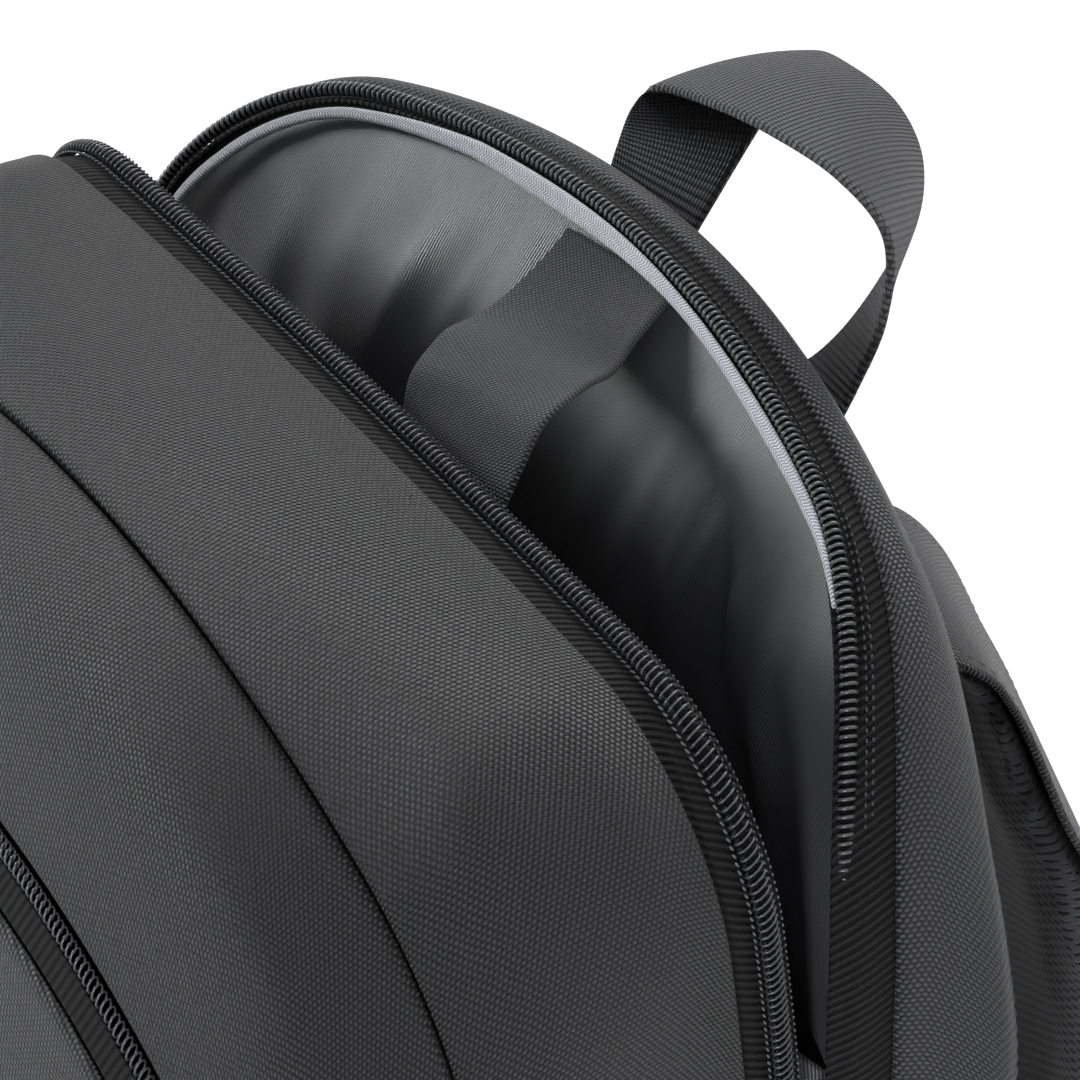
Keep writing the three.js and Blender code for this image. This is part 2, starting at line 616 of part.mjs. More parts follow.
const zipPlace = skinPoint(...front, zipMid, SLIDER.place);
zipPlace.addScaledVector(zipOut, COIL.high / 2 - 0.4 + SEAM_GAP);
const zipUp = v3(0, 0, 1).addScaledVector(zipOut, -zipOut.z).normalize();
pieces.push(slider('front_zip_slider', zipPlace, zipOut, zipUp));

// The bag stands at the middle of the frame
const group = new THREE.Group();
for (const piece of pieces) group.add(piece);
const box = new THREE.Box3().setFromObject(group);
const shift = box.getCenter(v3(0, 0, 0));
for (const piece of pieces) piece.geometry.translate(0, -shift.y, 0);

export default group;
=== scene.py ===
import math

import bpy
import numpy as np
from mathutils import Matrix, Vector


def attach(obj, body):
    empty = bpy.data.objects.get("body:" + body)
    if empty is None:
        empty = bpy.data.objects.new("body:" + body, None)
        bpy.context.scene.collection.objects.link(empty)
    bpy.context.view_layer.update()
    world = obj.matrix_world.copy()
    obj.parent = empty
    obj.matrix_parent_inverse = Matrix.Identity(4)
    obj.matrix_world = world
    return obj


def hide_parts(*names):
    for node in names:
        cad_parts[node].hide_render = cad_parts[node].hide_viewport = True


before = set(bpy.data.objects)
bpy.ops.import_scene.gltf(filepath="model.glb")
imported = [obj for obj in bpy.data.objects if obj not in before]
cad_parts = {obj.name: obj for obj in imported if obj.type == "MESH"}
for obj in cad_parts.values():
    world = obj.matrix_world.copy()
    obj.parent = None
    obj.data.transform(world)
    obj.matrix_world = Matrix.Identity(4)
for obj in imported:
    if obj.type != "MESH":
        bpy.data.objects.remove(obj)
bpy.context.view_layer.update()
print("frame loaded:", len(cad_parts), "nodes")

mm = 0.001
depthShift = 13.271  # mm from the front rim's top back to the middle of the whole bag
foot = 22.0  # mm, where the walls meet the base
scene = bpy.context.scene


# Camera, floor and light

cameraFit = {
    "azimuth": 60.31,
    "elevation": 31.776,
    "roll": 0.8235,
    "distance": 1666.7,  # mm from the target
    "target": (0.0, 0.0, 415.0),  # mm, top of the rear zip's front rim
    "targetPixel": (365.5, 390.8),
    "focalPixels": 8588.0,
    "framePixels": 1080.0,
}


def toFrame(points):
    return (np.asarray(points, float) - np.array([0.0, depthShift, 0.0])) * mm


def makeCamera(fit):
    azimuth, elevation, roll = (math.radians(fit[key]) for key in ("azimuth", "elevation", "roll"))
    flat = math.cos(elevation)
    ahead = Vector((-math.sin(azimuth) * flat, math.cos(azimuth) * flat, -math.sin(elevation)))
    level = Vector((math.cos(azimuth), math.sin(azimuth), 0.0))
    rise = level.cross(ahead)
    right = level * math.cos(roll) + rise * math.sin(roll)
    up = rise * math.cos(roll) - level * math.sin(roll)
    middle = fit["framePixels"] / 2
    across = (middle - fit["targetPixel"][0]) / fit["focalPixels"]
    down = (middle - fit["targetPixel"][1]) / fit["focalPixels"]
    aim = (ahead + right * across - up * down).normalized()
    side = aim.cross(up).normalized()
    data = bpy.data.cameras.new("camera")
    data.lens = data.sensor_width * fit["focalPixels"] / fit["framePixels"]
    data.clip_start = 0.05
    data.clip_end = 100.0
    camera = bpy.data.objects.new("camera", data)
    place = Vector(toFrame(fit["target"])) - ahead * fit["distance"] * mm
    turn = Matrix((side, side.cross(aim), -aim)).transposed()
    camera.matrix_world = Matrix.Translation(place) @ turn.to_4x4()
    scene.collection.objects.link(camera)
    scene.camera = camera


makeCamera(cameraFit)

studio = {
    "floorHalf": 16.0,
    "floorTone": (0.93, 0.93, 0.935),
    "sky": (0.93, 0.95, 1.0),
    "skyStrength": 0.22,
    "aim": (0.0, 0.0, 0.3),  # what every light is turned to
    "soft": [  # name, place, size, power, colour
        ("backKey", (-1.25, 1.3, 1.6), 1.6, 38.0, (1.0, 0.995, 0.99)),
        ("backRight", (0.7, 1.5, 2.0), 1.2, 11.0, (1.0, 1.0, 1.0)),
        ("topSoft", (0.35, 0.25, 2.4), 1.4, 13.0, (1.0, 1.0, 1.0)),
        ("leftSoft", (-2.1, -1.0, 0.8), 0.7, 27.0, (0.98, 0.99, 1.0)),
        ("nearSoft", (1.9, -1.6, 0.2), 0.4, 38.0, (1.0, 1.0, 1.0)),  # below the rim, so none falls inside
    ],
}


def makeStudio(look):
    half = look["floorHalf"]
    mesh = bpy.data.meshes.new("floor")
    corners = [(-half, -half, 0), (half, -half, 0), (half, half, 0), (-half, half, 0)]
    mesh.from_pydata(corners, [], [(0, 1, 2, 3)])
    floor = bpy.data.objects.new("floor", mesh)
    scene.collection.objects.link(floor)
    material = bpy.data.materials.new("floorPaper")
    material.use_nodes = True
    paper = material.node_tree.nodes["Principled BSDF"]
    paper.inputs["Base Color"].default_value = (*look["floorTone"], 1.0)
    paper.inputs["Roughness"].default_value = 0.9
    mesh.materials.append(material)
    world = bpy.data.worlds.new("studio")
    world.use_nodes = True
    sky = world.node_tree.nodes["Background"]
    sky.inputs["Color"].default_value = (*look["sky"], 1.0)
    sky.inputs["Strength"].default_value = look["skyStrength"]
    scene.world = world
    for name, place, size, power, colour in look["soft"]:
        data = bpy.data.lights.new(name, "AREA")
        data.shape = "DISK"
        data.size = size
        data.energy = power
        data.color = colour
        light = bpy.data.objects.new(name, data)
        light.location = place
        toBag = Vector(look["aim"]) - Vector(place)
        light.rotation_euler = toBag.to_track_quat("-Z", "Y").to_euler()
        scene.collection.objects.link(light)
    scene.view_settings.view_transform = "Standard"


makeStudio(studio)
print("camera, floor and light made")


# Shader groups, then one material for each finish

def newGroup(name, inputs, outputs):
    tree = bpy.data.node_groups.new(name, "ShaderNodeTree")
    for label, kind in inputs:
        tree.interface.new_socket(name=label, in_out="INPUT", socket_type="NodeSocket" + kind)
    for label in outputs:
        tree.interface.new_socket(name=label, in_out="OUTPUT", socket_type="NodeSocketFloat")
    return tree, tree.nodes.new("NodeGroupInput"), tree.nodes.new("NodeGroupOutput")


def setInput(tree, socket, value):
    if isinstance(value, bpy.types.NodeSocket):
        tree.links.new(value, socket)
    else:
        socket.default_value = value


def calc(tree, operation, *values):
    made = tree.nodes.new("ShaderNodeMath")
    made.operation = operation
    for socket, value in zip(made.inputs, values):
        setInput(tree, socket, value)
    return made.outputs[0]


def ramp(tree, value, low, high):
    made = tree.nodes.new("ShaderNodeMapRange")
    made.interpolation_type = "SMOOTHSTEP"
    for label, given in (("Value", value), ("From Min", low), ("From Max", high)):
        setInput(tree, made.inputs[label], given)
    return made.outputs["Result"]


def noise(tree, vector, scale, detail=2.0):
    made = tree.nodes.new("ShaderNodeTexNoise")
    setInput(tree, made.inputs["Vector"], vector)
    made.inputs["Scale"].default_value = scale
    made.inputs["Detail"].default_value = detail
    return made.outputs["Fac"]


def axesOf(tree, vector):
    made = tree.nodes.new("ShaderNodeSeparateXYZ")
    setInput(tree, made.inputs[0], vector)
    return made.outputs[0], made.outputs[1]


def wave(tree, value, halfPeriod, kind="SINE"):
    return calc(tree, kind, calc(tree, "MULTIPLY", calc(tree, "DIVIDE", value, halfPeriod), math.pi))


def give(tree, made, **values):
    for label, value in values.items():
        tree.links.new(value, made.inputs[label])


def makeWeave():  # staggered yarn bumps, as on a dense plain weave
    tree, given, made = newGroup(
        "crossWeave",
        [("Vector", "Vector"), ("Along", "Float"), ("Across", "Float"), ("Wander", "Float")],
        ["Height", "Top", "Yarn"],
    )
    along, across = axesOf(tree, given.outputs["Vector"])
    drift = calc(tree, "SUBTRACT", noise(tree, given.outputs["Vector"], 0.09), 0.5)
    drift = calc(tree, "MULTIPLY", drift, given.outputs["Wander"])
    along = calc(tree, "ADD", along, drift)
    across = calc(tree, "ADD", across, calc(tree, "MULTIPLY", drift, 0.7))
    over = wave(tree, along, given.outputs["Along"], "COSINE")
    under = wave(tree, across, given.outputs["Across"], "COSINE")
    bumps = calc(tree, "MULTIPLY", over, calc(tree, "ADD", over, under))  # six neighbours round each bump
    bumps = calc(tree, "MULTIPLY_ADD", bumps, 0.667, -0.333)
    fibre = noise(tree, given.outputs["Vector"], 4.5, 3.0)
    fibre = calc(tree, "MULTIPLY", calc(tree, "SUBTRACT", fibre, 0.5), 0.35)
    height = calc(tree, "ADD", bumps, fibre)
    row = calc(tree, "FLOOR", calc(tree, "DIVIDE", across, given.outputs["Across"]))
    grain = tree.nodes.new("ShaderNodeTexWhiteNoise")
    grain.noise_dimensions = "1D"
    tree.links.new(row, grain.inputs["W"])
    give(tree, made, Height=height, Top=ramp(tree, height, -0.4, 0.45), Yarn=grain.outputs["Value"])
    return tree


def makeHerringbone():  # slanted ribs that turn back at each column
    tree, given, made = newGroup(
        "herringbone",
        [("Vector", "Vector"), ("Pitch", "Float"), ("Column", "Float"), ("Slant", "Float")],
        ["Height", "Top", "Yarn"],
    )
    along, across = axesOf(tree, given.outputs["Vector"])
    fold = calc(tree, "PINGPONG", across, given.outputs["Column"])
    slant = calc(tree, "MULTIPLY_ADD", fold, given.outputs["Slant"], along)
    rib = wave(tree, slant, given.outputs["Pitch"])
    twist = wave(tree, calc(tree, "SUBTRACT", across, calc(tree, "MULTIPLY", along, 0.6)), 0.3)
    rough = calc(tree, "SUBTRACT", noise(tree, given.outputs["Vector"], 2.6, 3.0), 0.5)
    height = calc(tree, "ADD", rib, calc(tree, "MULTIPLY_ADD", twist, 0.22, rough))
    yarn = noise(tree, given.outputs["Vector"], 0.6)
    give(tree, made, Height=height, Top=ramp(tree, height, -0.6, 0.9), Yarn=yarn)
    return tree


def makeRibs():  # webbing: ribs across the width, each with short slanted yarns
    tree, given, made = newGroup(
        "webbingRibs",
        [("Vector", "Vector"), ("Rib", "Float"), ("Yarns", "Float")],
        ["Height", "Top", "Yarn"],
    )
    along, across = axesOf(tree, given.outputs["Vector"])
    rib = calc(tree, "ABSOLUTE", wave(tree, along, given.outputs["Rib"]))
    turn = calc(tree, "FLOOR", calc(tree, "DIVIDE", along, given.outputs["Rib"]))
    shifted = calc(tree, "ADD", across, calc(tree, "MULTIPLY", turn, given.outputs["Yarns"]))
    shifted = calc(tree, "ADD", shifted, calc(tree, "MULTIPLY", along, 0.25))
    yarn = calc(tree, "ABSOLUTE", wave(tree, shifted, given.outputs["Yarns"]))
    height = calc(tree, "MULTIPLY", calc(tree, "POWER", rib, 0.7), calc(tree, "MULTIPLY_ADD", yarn, 0.6, 0.4))
    uneven = noise(tree, given.outputs["Vector"], 0.5)
    give(tree, made, Height=height, Top=ramp(tree, height, 0.2, 0.95), Yarn=uneven)
    return tree


def makeAirMesh():  # spacer mesh: rows of round holes between knitted cords
    tree, given, made = newGroup(
        "airMesh",
        [("Vector", "Vector"), ("Hole", "Float")],
        ["Height", "Top", "Yarn"],
    )
    along, across = axesOf(tree, given.outputs["Vector"])
    over = wave(tree, along, given.outputs["Hole"])
    under = wave(tree, across, calc(tree, "MULTIPLY", given.outputs["Hole"], 0.6))
    hole = ramp(tree, calc(tree, "MULTIPLY", over, under), 0.1, 0.55)
    knit = noise(tree, given.outputs["Vector"], 3.0, 3.0)
    height = calc(tree, "ADD", calc(tree, "SUBTRACT", 1.0, hole), calc(tree, "MULTIPLY", knit, 0.5))
    give(tree, made, Height=height, Top=ramp(tree, height, 0.2, 1.4), Yarn=knit)
    return tree


def makeHandling():  # broad uneven tone that cloth takes from handling
    tree, given, made = newGroup("handling", [("Vector", "Vector"), ("Amount", "Float")], ["Tone"])
    broad = noise(tree, given.outputs["Vector"], 16.0, 3.0)
    fine = noise(tree, given.outputs["Vector"], 130.0, 2.0)
    mixed = calc(tree, "ADD", calc(tree, "MULTIPLY", broad, 0.7), calc(tree, "MULTIPLY", fine, 0.3))
    swing = calc(tree, "MULTIPLY", calc(tree, "SUBTRACT", mixed, 0.5), given.outputs["Amount"])
    give(tree, made, Tone=calc(tree, "ADD", swing, 1.0))
    return tree


groups = {
    "weave": makeWeave(),
    "herringbone": makeHerringbone(),
    "ribs": makeRibs(),
    "airMesh": makeAirMesh(),
    "handling": makeHandling(),
}


def newMaterial(name):
    material = bpy.data.materials.new(name)
    material.use_nodes = True
    tree = material.node_tree
    return material, tree, tree.nodes["Principled BSDF"], tree.nodes.new("ShaderNodeTexCoord")


def mixTones(tree, factor, low, high):
    made = tree.nodes.new("ShaderNodeMix")
    made.data_type = "RGBA"
    tree.links.new(factor, made.inputs["Factor"])
    made.inputs["A"].default_value = (*low, 1.0)
    made.inputs["B"].default_value = (*high, 1.0)
    return made.outputs["Result"]


def addBump(tree, shader, height, strength, depth):
    bump = tree.nodes.new("ShaderNodeBump")
    bump.inputs["Strength"].default_value = strength
    bump.inputs["Distance"].default_value = depth * mm
    tree.links.new(height, bump.inputs["Height"])
    tree.links.new(bump.outputs["Normal"], shader.inputs["Normal"])


def clothMaterial(name, look):
    material, tree, shader, spots = newMaterial(name)
    pattern = tree.nodes.new("ShaderNodeGroup")
    pattern.node_tree = groups[look["pattern"]]
    if look.get("onObject"):  # a pattern on the frame's own x and z, in mm
        mapping = tree.nodes.new("ShaderNodeMapping")
        mapping.inputs["Scale"].default_value = (1000.0, 1000.0, 1000.0)
        mapping.inputs["Rotation"].default_value = (math.radians(-90.0), 0.0, 0.0)
        tree.links.new(spots.outputs["Object"], mapping.inputs["Vector"])
        tree.links.new(mapping.outputs["Vector"], pattern.inputs["Vector"])
    else:
        tree.links.new(spots.outputs["UV"], pattern.inputs["Vector"])
    for label, value in look["sizes"].items():
        pattern.inputs[label].default_value = value
    tones = mixTones(tree, pattern.outputs["Top"], look["low"], look["high"])
    handling = tree.nodes.new("ShaderNodeGroup")
    handling.node_tree = groups["handling"]
    handling.inputs["Amount"].default_value = look.get("handling", 0.3)
    tree.links.new(spots.outputs["Object"], handling.inputs["Vector"])
    yarn = look.get("yarn", 0.2)
    yarnTone = calc(tree, "MULTIPLY_ADD", pattern.outputs["Yarn"], yarn, 1.0 - yarn / 2)
    tone = calc(tree, "MULTIPLY", handling.outputs["Tone"], yarnTone)
    painted = tree.nodes.new("ShaderNodeVectorMath")
    painted.operation = "SCALE"
    tree.links.new(tones, painted.inputs[0])
    tree.links.new(tone, painted.inputs["Scale"])
    tree.links.new(painted.outputs["Vector"], shader.inputs["Base Color"])
    addBump(tree, shader, pattern.outputs["Height"], look["bump"], look["depth"])
    shader.inputs["Roughness"].default_value = look["rough"]
    shader.inputs["Sheen Weight"].default_value = look.get("sheen", 0.15)
    shader.inputs["Sheen Roughness"].default_value = 0.5
    shader.inputs["Specular IOR Level"].default_value = look.get("gloss", 0.35)
    return material


def hardMaterial(name, tone, rough, look):
    material, tree, shader, spots = newMaterial(name)
    speck = noise(tree, spots.outputs["Object"], look["scale"], 4.0)
    tones = mixTones(tree, speck, [t * 0.8 for t in tone], [t * 1.25 for t in tone])
    tree.links.new(tones, shader.inputs["Base Color"])
    tree.links.new(calc(tree, "MULTIPLY_ADD", speck, 0.2, rough - 0.1), shader.inputs["Roughness"])
    addBump(tree, shader, speck, look["bump"], 0.1)
    shader.inputs["Metallic"].default_value = look.get("metal", 0.0)
    shader.inputs["Specular IOR Level"].default_value = look.get("gloss", 0.5)
    return material


def grey(level):  # a grey with a little blue in it
    return (level * 0.985, level, level * 1.09)


materials = {
    "woven": clothMaterial("wovenNylon", {
        "pattern": "weave", "sizes": {"Along": 0.99, "Across": 0.61, "Wander": 1.0},
        "low": grey(0.003), "high": grey(0.056), "depth": 0.66, "bump": 0.95, "rough": 0.48,
        "sheen": 0.05, "gloss": 0.45, "handling": 0.22, "yarn": 0.1,
    }),
    # A lighter copy of the body nylon for the back band: its higher tones are painted light, so the band's
    # crown reads as lit
    "band": clothMaterial("bandNylonPaintedLight", {
        "pattern": "weave", "sizes": {"Along": 1.05, "Across": 0.74, "Wander": 0.8},
        "low": grey(0.005), "high": grey(0.078), "depth": 0.56, "bump": 0.9, "rough": 0.5,
        "sheen": 0.05, "gloss": 0.45, "handling": 0.2, "yarn": 0.08,
    }),
    "base": clothMaterial("baseCloth", {
        "pattern": "weave", "sizes": {"Along": 0.99, "Across": 0.61, "Wander": 1.0},
        "low": grey(0.007), "high": grey(0.042), "depth": 0.22, "bump": 0.7, "rough": 0.66, "handling": 0.3,
    }),
    "tape": clothMaterial("zipTape", {
        "pattern": "herringbone", "sizes": {"Pitch": 0.975, "Column": 400.0, "Slant": 0.4},
        "low": grey(0.002), "high": grey(0.017), "depth": 0.34, "bump": 0.8, "rough": 0.75,
        "sheen": 0.0, "gloss": 0.2, "yarn": 0.3,
    }),
    "lining": clothMaterial("liningTwill", {
        "pattern": "herringbone", "sizes": {"Pitch": 0.33, "Column": 4000.0, "Slant": 0.05},
        "low": grey(0.026), "high": grey(0.075), "depth": 0.06, "bump": 0.6, "rough": 0.4,
        "sheen": 0.0, "gloss": 0.72, "handling": 0.15, "yarn": 0.1,
    }),
    "binding": clothMaterial("bindingTape", {
        "pattern": "herringbone", "sizes": {"Pitch": 0.42, "Column": 1.1, "Slant": 0.8},
        "low": grey(0.36), "high": grey(0.88), "depth": 0.2, "bump": 0.8, "rough": 0.7, "yarn": 0.25,
    }),
    "elastic": clothMaterial("elasticBand", {
        "pattern": "weave", "sizes": {"Along": 0.46, "Across": 0.62, "Wander": 0.5},
        "low": grey(0.004), "high": grey(0.125), "depth": 0.46, "bump": 0.95, "rough": 0.7, "yarn": 0.12,
    }),
    "webbing": clothMaterial("ribbedWebbing", {
        "pattern": "ribs", "sizes": {"Rib": 1.4, "Yarns": 0.8},
        "low": grey(0.002), "high": grey(0.075), "depth": 0.7, "bump": 1.0, "rough": 0.6, "yarn": 0.2,
    }),
    "airMesh": clothMaterial("spacerMesh", {
        "pattern": "airMesh", "sizes": {"Hole": 1.9}, "onObject": True,
        "low": grey(0.004), "high": grey(0.06), "depth": 0.7, "bump": 1.0, "rough": 0.8, "yarn": 0.3,
    }),
    # The coil's grey base is lighter than its black nylon: a painted highlight, so the loops read bright
    # along the wire
    "coil": hardMaterial("zipCoil", grey(0.07), 0.3, {"scale": 900.0, "bump": 0.03, "gloss": 0.7}),
    "cord": hardMaterial("coilCord", grey(0.004), 0.8, {"scale": 2500.0, "bump": 0.3, "gloss": 0.1}),
    "slider": hardMaterial("sliderPaint", grey(0.02), 0.34, {"scale": 700.0, "bump": 0.05, "metal": 0.5}),
    "buckle": hardMaterial("buckleMoulding", grey(0.018), 0.5, {"scale": 1500.0, "bump": 0.12}),
    "thread": hardMaterial("sewingThread", grey(0.045), 0.6, {"scale": 3000.0, "bump": 0.4}),
    "paleThread": hardMaterial("paleThread", grey(0.11), 0.6, {"scale": 3000.0, "bump": 0.4}),
}
print("materials made:", len(materials))


# The bag's outer skin: arched lines at a running distance from each rim of the rear zip

rimDepth = np.array([  # height, front rim, back rim
    (0, 14.0, 20.0), (140, 14.0, 20.5), (220, 14.0, 23.0), (300, 13.4, 24.5), (335, 11.6, 24.0),
    (355, 9.1, 23.8), (375, 6.1, 25.6), (395, 3.0, 31.6), (415, 0.0, 42.7), (435, -3.0, 58.4),
    (455, -6.0, 76.0),
])
frontLines = np.array([  # distance, depth, half width, top, crown radius, corner radius
    (0, 0, 142, 415, 2500, 42), (9.5, -9, 143.5, 416.5, 1500, 44), (24, -23, 146.5, 421, 700, 51),
    (48, -47.5, 146.5, 423, 320, 61), (67, -66, 142, 418, 210, 68), (95, -88.5, 138, 405, 185, 66),
    (130, -107, 122, 374, 172, 60), (142, -113, 112, 361, 165, 56),
])
backLines = np.array([
    (0, 0, 142, 435.4, 347, 76), (9.6, 8.1, 147, 434.4, 344, 75), (18, 15.5, 150.5, 432.6, 344, 75),
    (34, 28.5, 153.5, 421, 344, 75), (45, 35, 151, 409, 342, 72),
])
archShare = {"side": 0.45, "corner": 0.72}
rimColumn = {"front": 1, "back": 2}
skinLines = {"front": frontLines, "back": backLines}


def smoothRows(rows, place):
    keys = rows[:, 0]
    last = len(keys) - 1
    order = np.arange(last + 1)
    before = np.maximum(order - 1, 0)
    after = np.minimum(order + 1, last)
    slope = (rows[after] - rows[before]) / (keys[after] - keys[before])[:, None]
    place = np.asarray(place, float)
    i = np.searchsorted(keys[1:-1], place, side="left")
    span = (keys[i + 1] - keys[i])[..., None]
    t = (place - keys[i])[..., None] / span
    level = rows[i] * (2 * t**3 - 3 * t**2 + 1) + rows[i + 1] * (3 * t**2 - 2 * t**3)
    return level + span * (slope[i] * (t**3 - 2 * t**2 + t) + slope[i + 1] * (t**3 - t**2))


def rim(z, half):
    return smoothRows(rimDepth, z)[..., rimColumn[half]]


def archPoint(line, u):
    half, top, crown, corner = (line[..., k] for k in range(2, 6))
    mid = top - crown
    spring = mid + np.sqrt((crown - corner) ** 2 - (half - corner) ** 2)
    meet = np.arctan2(spring - mid, half - corner)
    side = np.where(u < 0.5, -1.0, 1.0)
    s = 1 - np.abs(2 * u - 1)
    turn = (s - archShare["side"]) / (archShare["corner"] - archShare["side"])
    rise = (s - archShare["corner"]) / (1 - archShare["corner"])
    straight = s < archShare["side"]
    bend = s < archShare["corner"]
    angle = np.where(bend, meet * turn, meet + (math.pi / 2 - meet) * rise)
    angle = np.where(straight, 0.0, angle)
    x = np.where(bend, half - corner + corner * np.cos(angle), crown * np.cos(angle))
    z = np.where(bend, spring + corner * np.sin(angle), mid + crown * np.sin(angle))
    z = np.where(straight, foot + (spring - foot) * s / archShare["side"], z)
    return side * x, z, side * np.cos(angle), np.sin(angle)


def skin(half, at, u):
    at, u = np.broadcast_arrays(np.asarray(at, float), np.asarray(u, float))
    line = smoothRows(skinLines[half], at)
    x, z, _, _ = archPoint(line, u)
    return np.stack([x, rim(z, half) + line[..., 1], z], axis=-1)


def unit(vectors):
    return vectors / np.maximum(np.linalg.norm(vectors, axis=-1, keepdims=True), 1e-9)


def skinOut(half, at, u):
    at, u = np.broadcast_arrays(np.asarray(at, float), np.asarray(u, float))
    along = skin(half, at, np.minimum(u + 0.0015, 1.0)) - skin(half, at, np.maximum(u - 0.0015, 0.0))
    across = skin(half, at + 0.4, u) - skin(half, at - 0.4, u)
    out = unit(np.cross(along, across))
    _, _, nx, nz = archPoint(smoothRows(skinLines[half], at), u)
    facing = out[..., 0] * nx + out[..., 2] * nz
    return out * np.where(facing < 0, -1.0, 1.0)[..., None]


def lengths(points):
    return np.concatenate([[0.0], np.cumsum(np.linalg.norm(np.diff(points, axis=0), axis=1))])


def evenPlaces(half, at, step):  # places at even steps along one line, and the length run at each
    fine = np.linspace(0.0, 1.0, 1500)
    run = lengths(skin(half, at, fine))
    count = max(int(round(run[-1] / step)), 2)
    wanted = np.linspace(0.0, run[-1], count + 1)
    return np.interp(wanted, run, fine), wanted


def shadeSmooth(mesh):
    mesh.polygons.foreach_set("use_smooth", [True] * len(mesh.polygons))


def newPiece(name, points, faces, uv, material):
    points = toFrame(points)
    first = np.array([face[:3] for face in faces])
    corners = points[first]
    spread = np.einsum("ij,ij->i", corners[:, 0], np.cross(corners[:, 1], corners[:, 2])).sum()
    if spread < 0:
        faces = [tuple(reversed(face)) for face in faces]
    mesh = bpy.data.meshes.new(name)
    mesh.from_pydata(points.tolist(), [], [tuple(int(k) for k in face) for face in faces])
    mesh.materials.append(materials[material])
    if uv is not None:
        layer = mesh.uv_layers.new(name="cloth")
        owner = np.zeros(len(mesh.loops), np.int32)
        mesh.loops.foreach_get("vertex_index", owner)
        layer.data.foreach_set("uv", np.asarray(uv, np.float32)[owner].ravel())
    shadeSmooth(mesh)
    piece = bpy.data.objects.new(name, mesh)
    scene.collection.objects.link(piece)
    return piece


def settle(piece, slot, *nodes):
    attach(piece, "root")
    if nodes:
        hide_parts(*nodes)
    return piece


def freeze(piece):  # turns the modifiers' result into the piece's own mesh
    graph = bpy.context.evaluated_depsgraph_get()
    baked = bpy.data.meshes.new_from_object(piece.evaluated_get(graph))
    piece.modifiers.clear()
    piece.data = baked


def gridFaces(rows, columns, shift=0):
    i, j = np.meshgrid(np.arange(rows - 1), np.arange(columns - 1), indexing="ij")
    a = (shift + i * columns + j).ravel()
    return np.stack([a, a + columns, a + columns + 1, a + 1], axis=1)


def tubeFaces(rows, columns):  # rings joined one after another, with both ends closed
    faces = []
    for i in range(rows - 1):
        for j in range(columns):
            k = (j + 1) % columns
            faces.append((i * columns + j, (i + 1) * columns + j, (i + 1) * columns + k, i * columns + k))
    faces.append(tuple(range(columns)))
    faces.append(tuple((rows - 1) * columns + j for j in reversed(range(columns))))
    return faces


def shell(name, outer, inner, uv, material):  # a closed sheet from two grids of one size
    rows, columns = outer.shape[:2]
    count = rows * columns
    front = gridFaces(rows, columns)
    back = gridFaces(rows, columns, count)[:, ::-1]
    border = list(range(columns))
    border += [i * columns + columns - 1 for i in range(1, rows)]
    border += [(rows - 1) * columns + j for j in range(columns - 2, -1, -1)]
    border += [i * columns for i in range(rows - 2, 0, -1)]
    wall = [(a, b, b + count, a + count) for a, b in zip(border, border[1:] + border[:1])]
    faces = [tuple(face) for face in front] + [tuple(face) for face in back] + wall
    points = np.concatenate([outer.reshape(-1, 3), inner.reshape(-1, 3)])
    return newPiece(name, points, faces, np.concatenate([uv.reshape(-1, 2)] * 2), material)


def rolled(distance, radius):  # how far a turned seam edge drops below the panel
    near = np.clip(radius - distance, 0.0, radius)
    return radius - np.sqrt(np.maximum(radius**2 - near**2, 0.0))


def soft(along, across, depth):  # slow unevenness of hand-sewn cloth
    slow = np.sin(along / 47 + 1.3) * np.sin(across / 19 + 0.4)
    quick = np.sin(along / 21 + across / 33 + 2.1) * np.sin(along / 83 + 0.7)
    return depth * (0.6 * slow + 0.4 * quick)


def crownRun(grid, u):  # length along each line, counted from the crown
    run = np.zeros(grid.shape[:2])
    run[1:] = np.cumsum(np.linalg.norm(np.diff(grid, axis=0), axis=2), axis=0)
    crown = np.array([np.interp(0.5, u, run[:, j]) for j in range(run.shape[1])])
    return run - crown[None, :]


edgeSteps = np.array([0.0, 0.15, 0.4, 0.8, 1.3, 2.0, 3.0])  # mm in from a seam, where the cloth turns
proudReach = 5.0  # mm over which a raised edge falls back


def skinPanel(name, half, start, end, look):
    width = end - start
    near = edgeSteps[edgeSteps < width / 3]
    middle = np.linspace(near[-1], width - near[-1], max(int(width / look["across"]), 3))[1:-1]
    distance = np.concatenate([near, middle, width - near[::-1]])
    u, run = evenPlaces(half, (start + end) / 2, look["along"])
    at = start + distance[None, :]
    places = u[:, None]
    base = skin(half, at, places)
    fromCrown = crownRun(base, u)
    out = skinOut(half, at, places)
    share = distance / width
    lift = look.get("puff", 0.0) * np.power(np.maximum(4 * share * (1 - share), 0.0), 0.7)
    lift = lift - rolled(distance, look["roll"][0]) - rolled(width - distance, look["roll"][1])
    for proud, fromEdge in zip(look["proud"], (distance, width - distance)):
        lift = lift + proud * np.exp(-fromEdge / proudReach)
    lift = lift[None, :] + soft(run[:, None], distance[None, :], look.get("uneven", 0.0))
    uv = np.stack(np.broadcast_arrays(fromCrown, at), axis=-1)
    outer = base + out * lift[..., None]
    inner = base + out * (lift - look["thick"])[..., None]
    return shell(name, outer, inner, uv, look["material"])


seams = {"tape": 9.5, "first": 67.0, "zip": 130.0, "zipEdge": 142.0, "backTape": 9.6, "backEdge": 45.0}

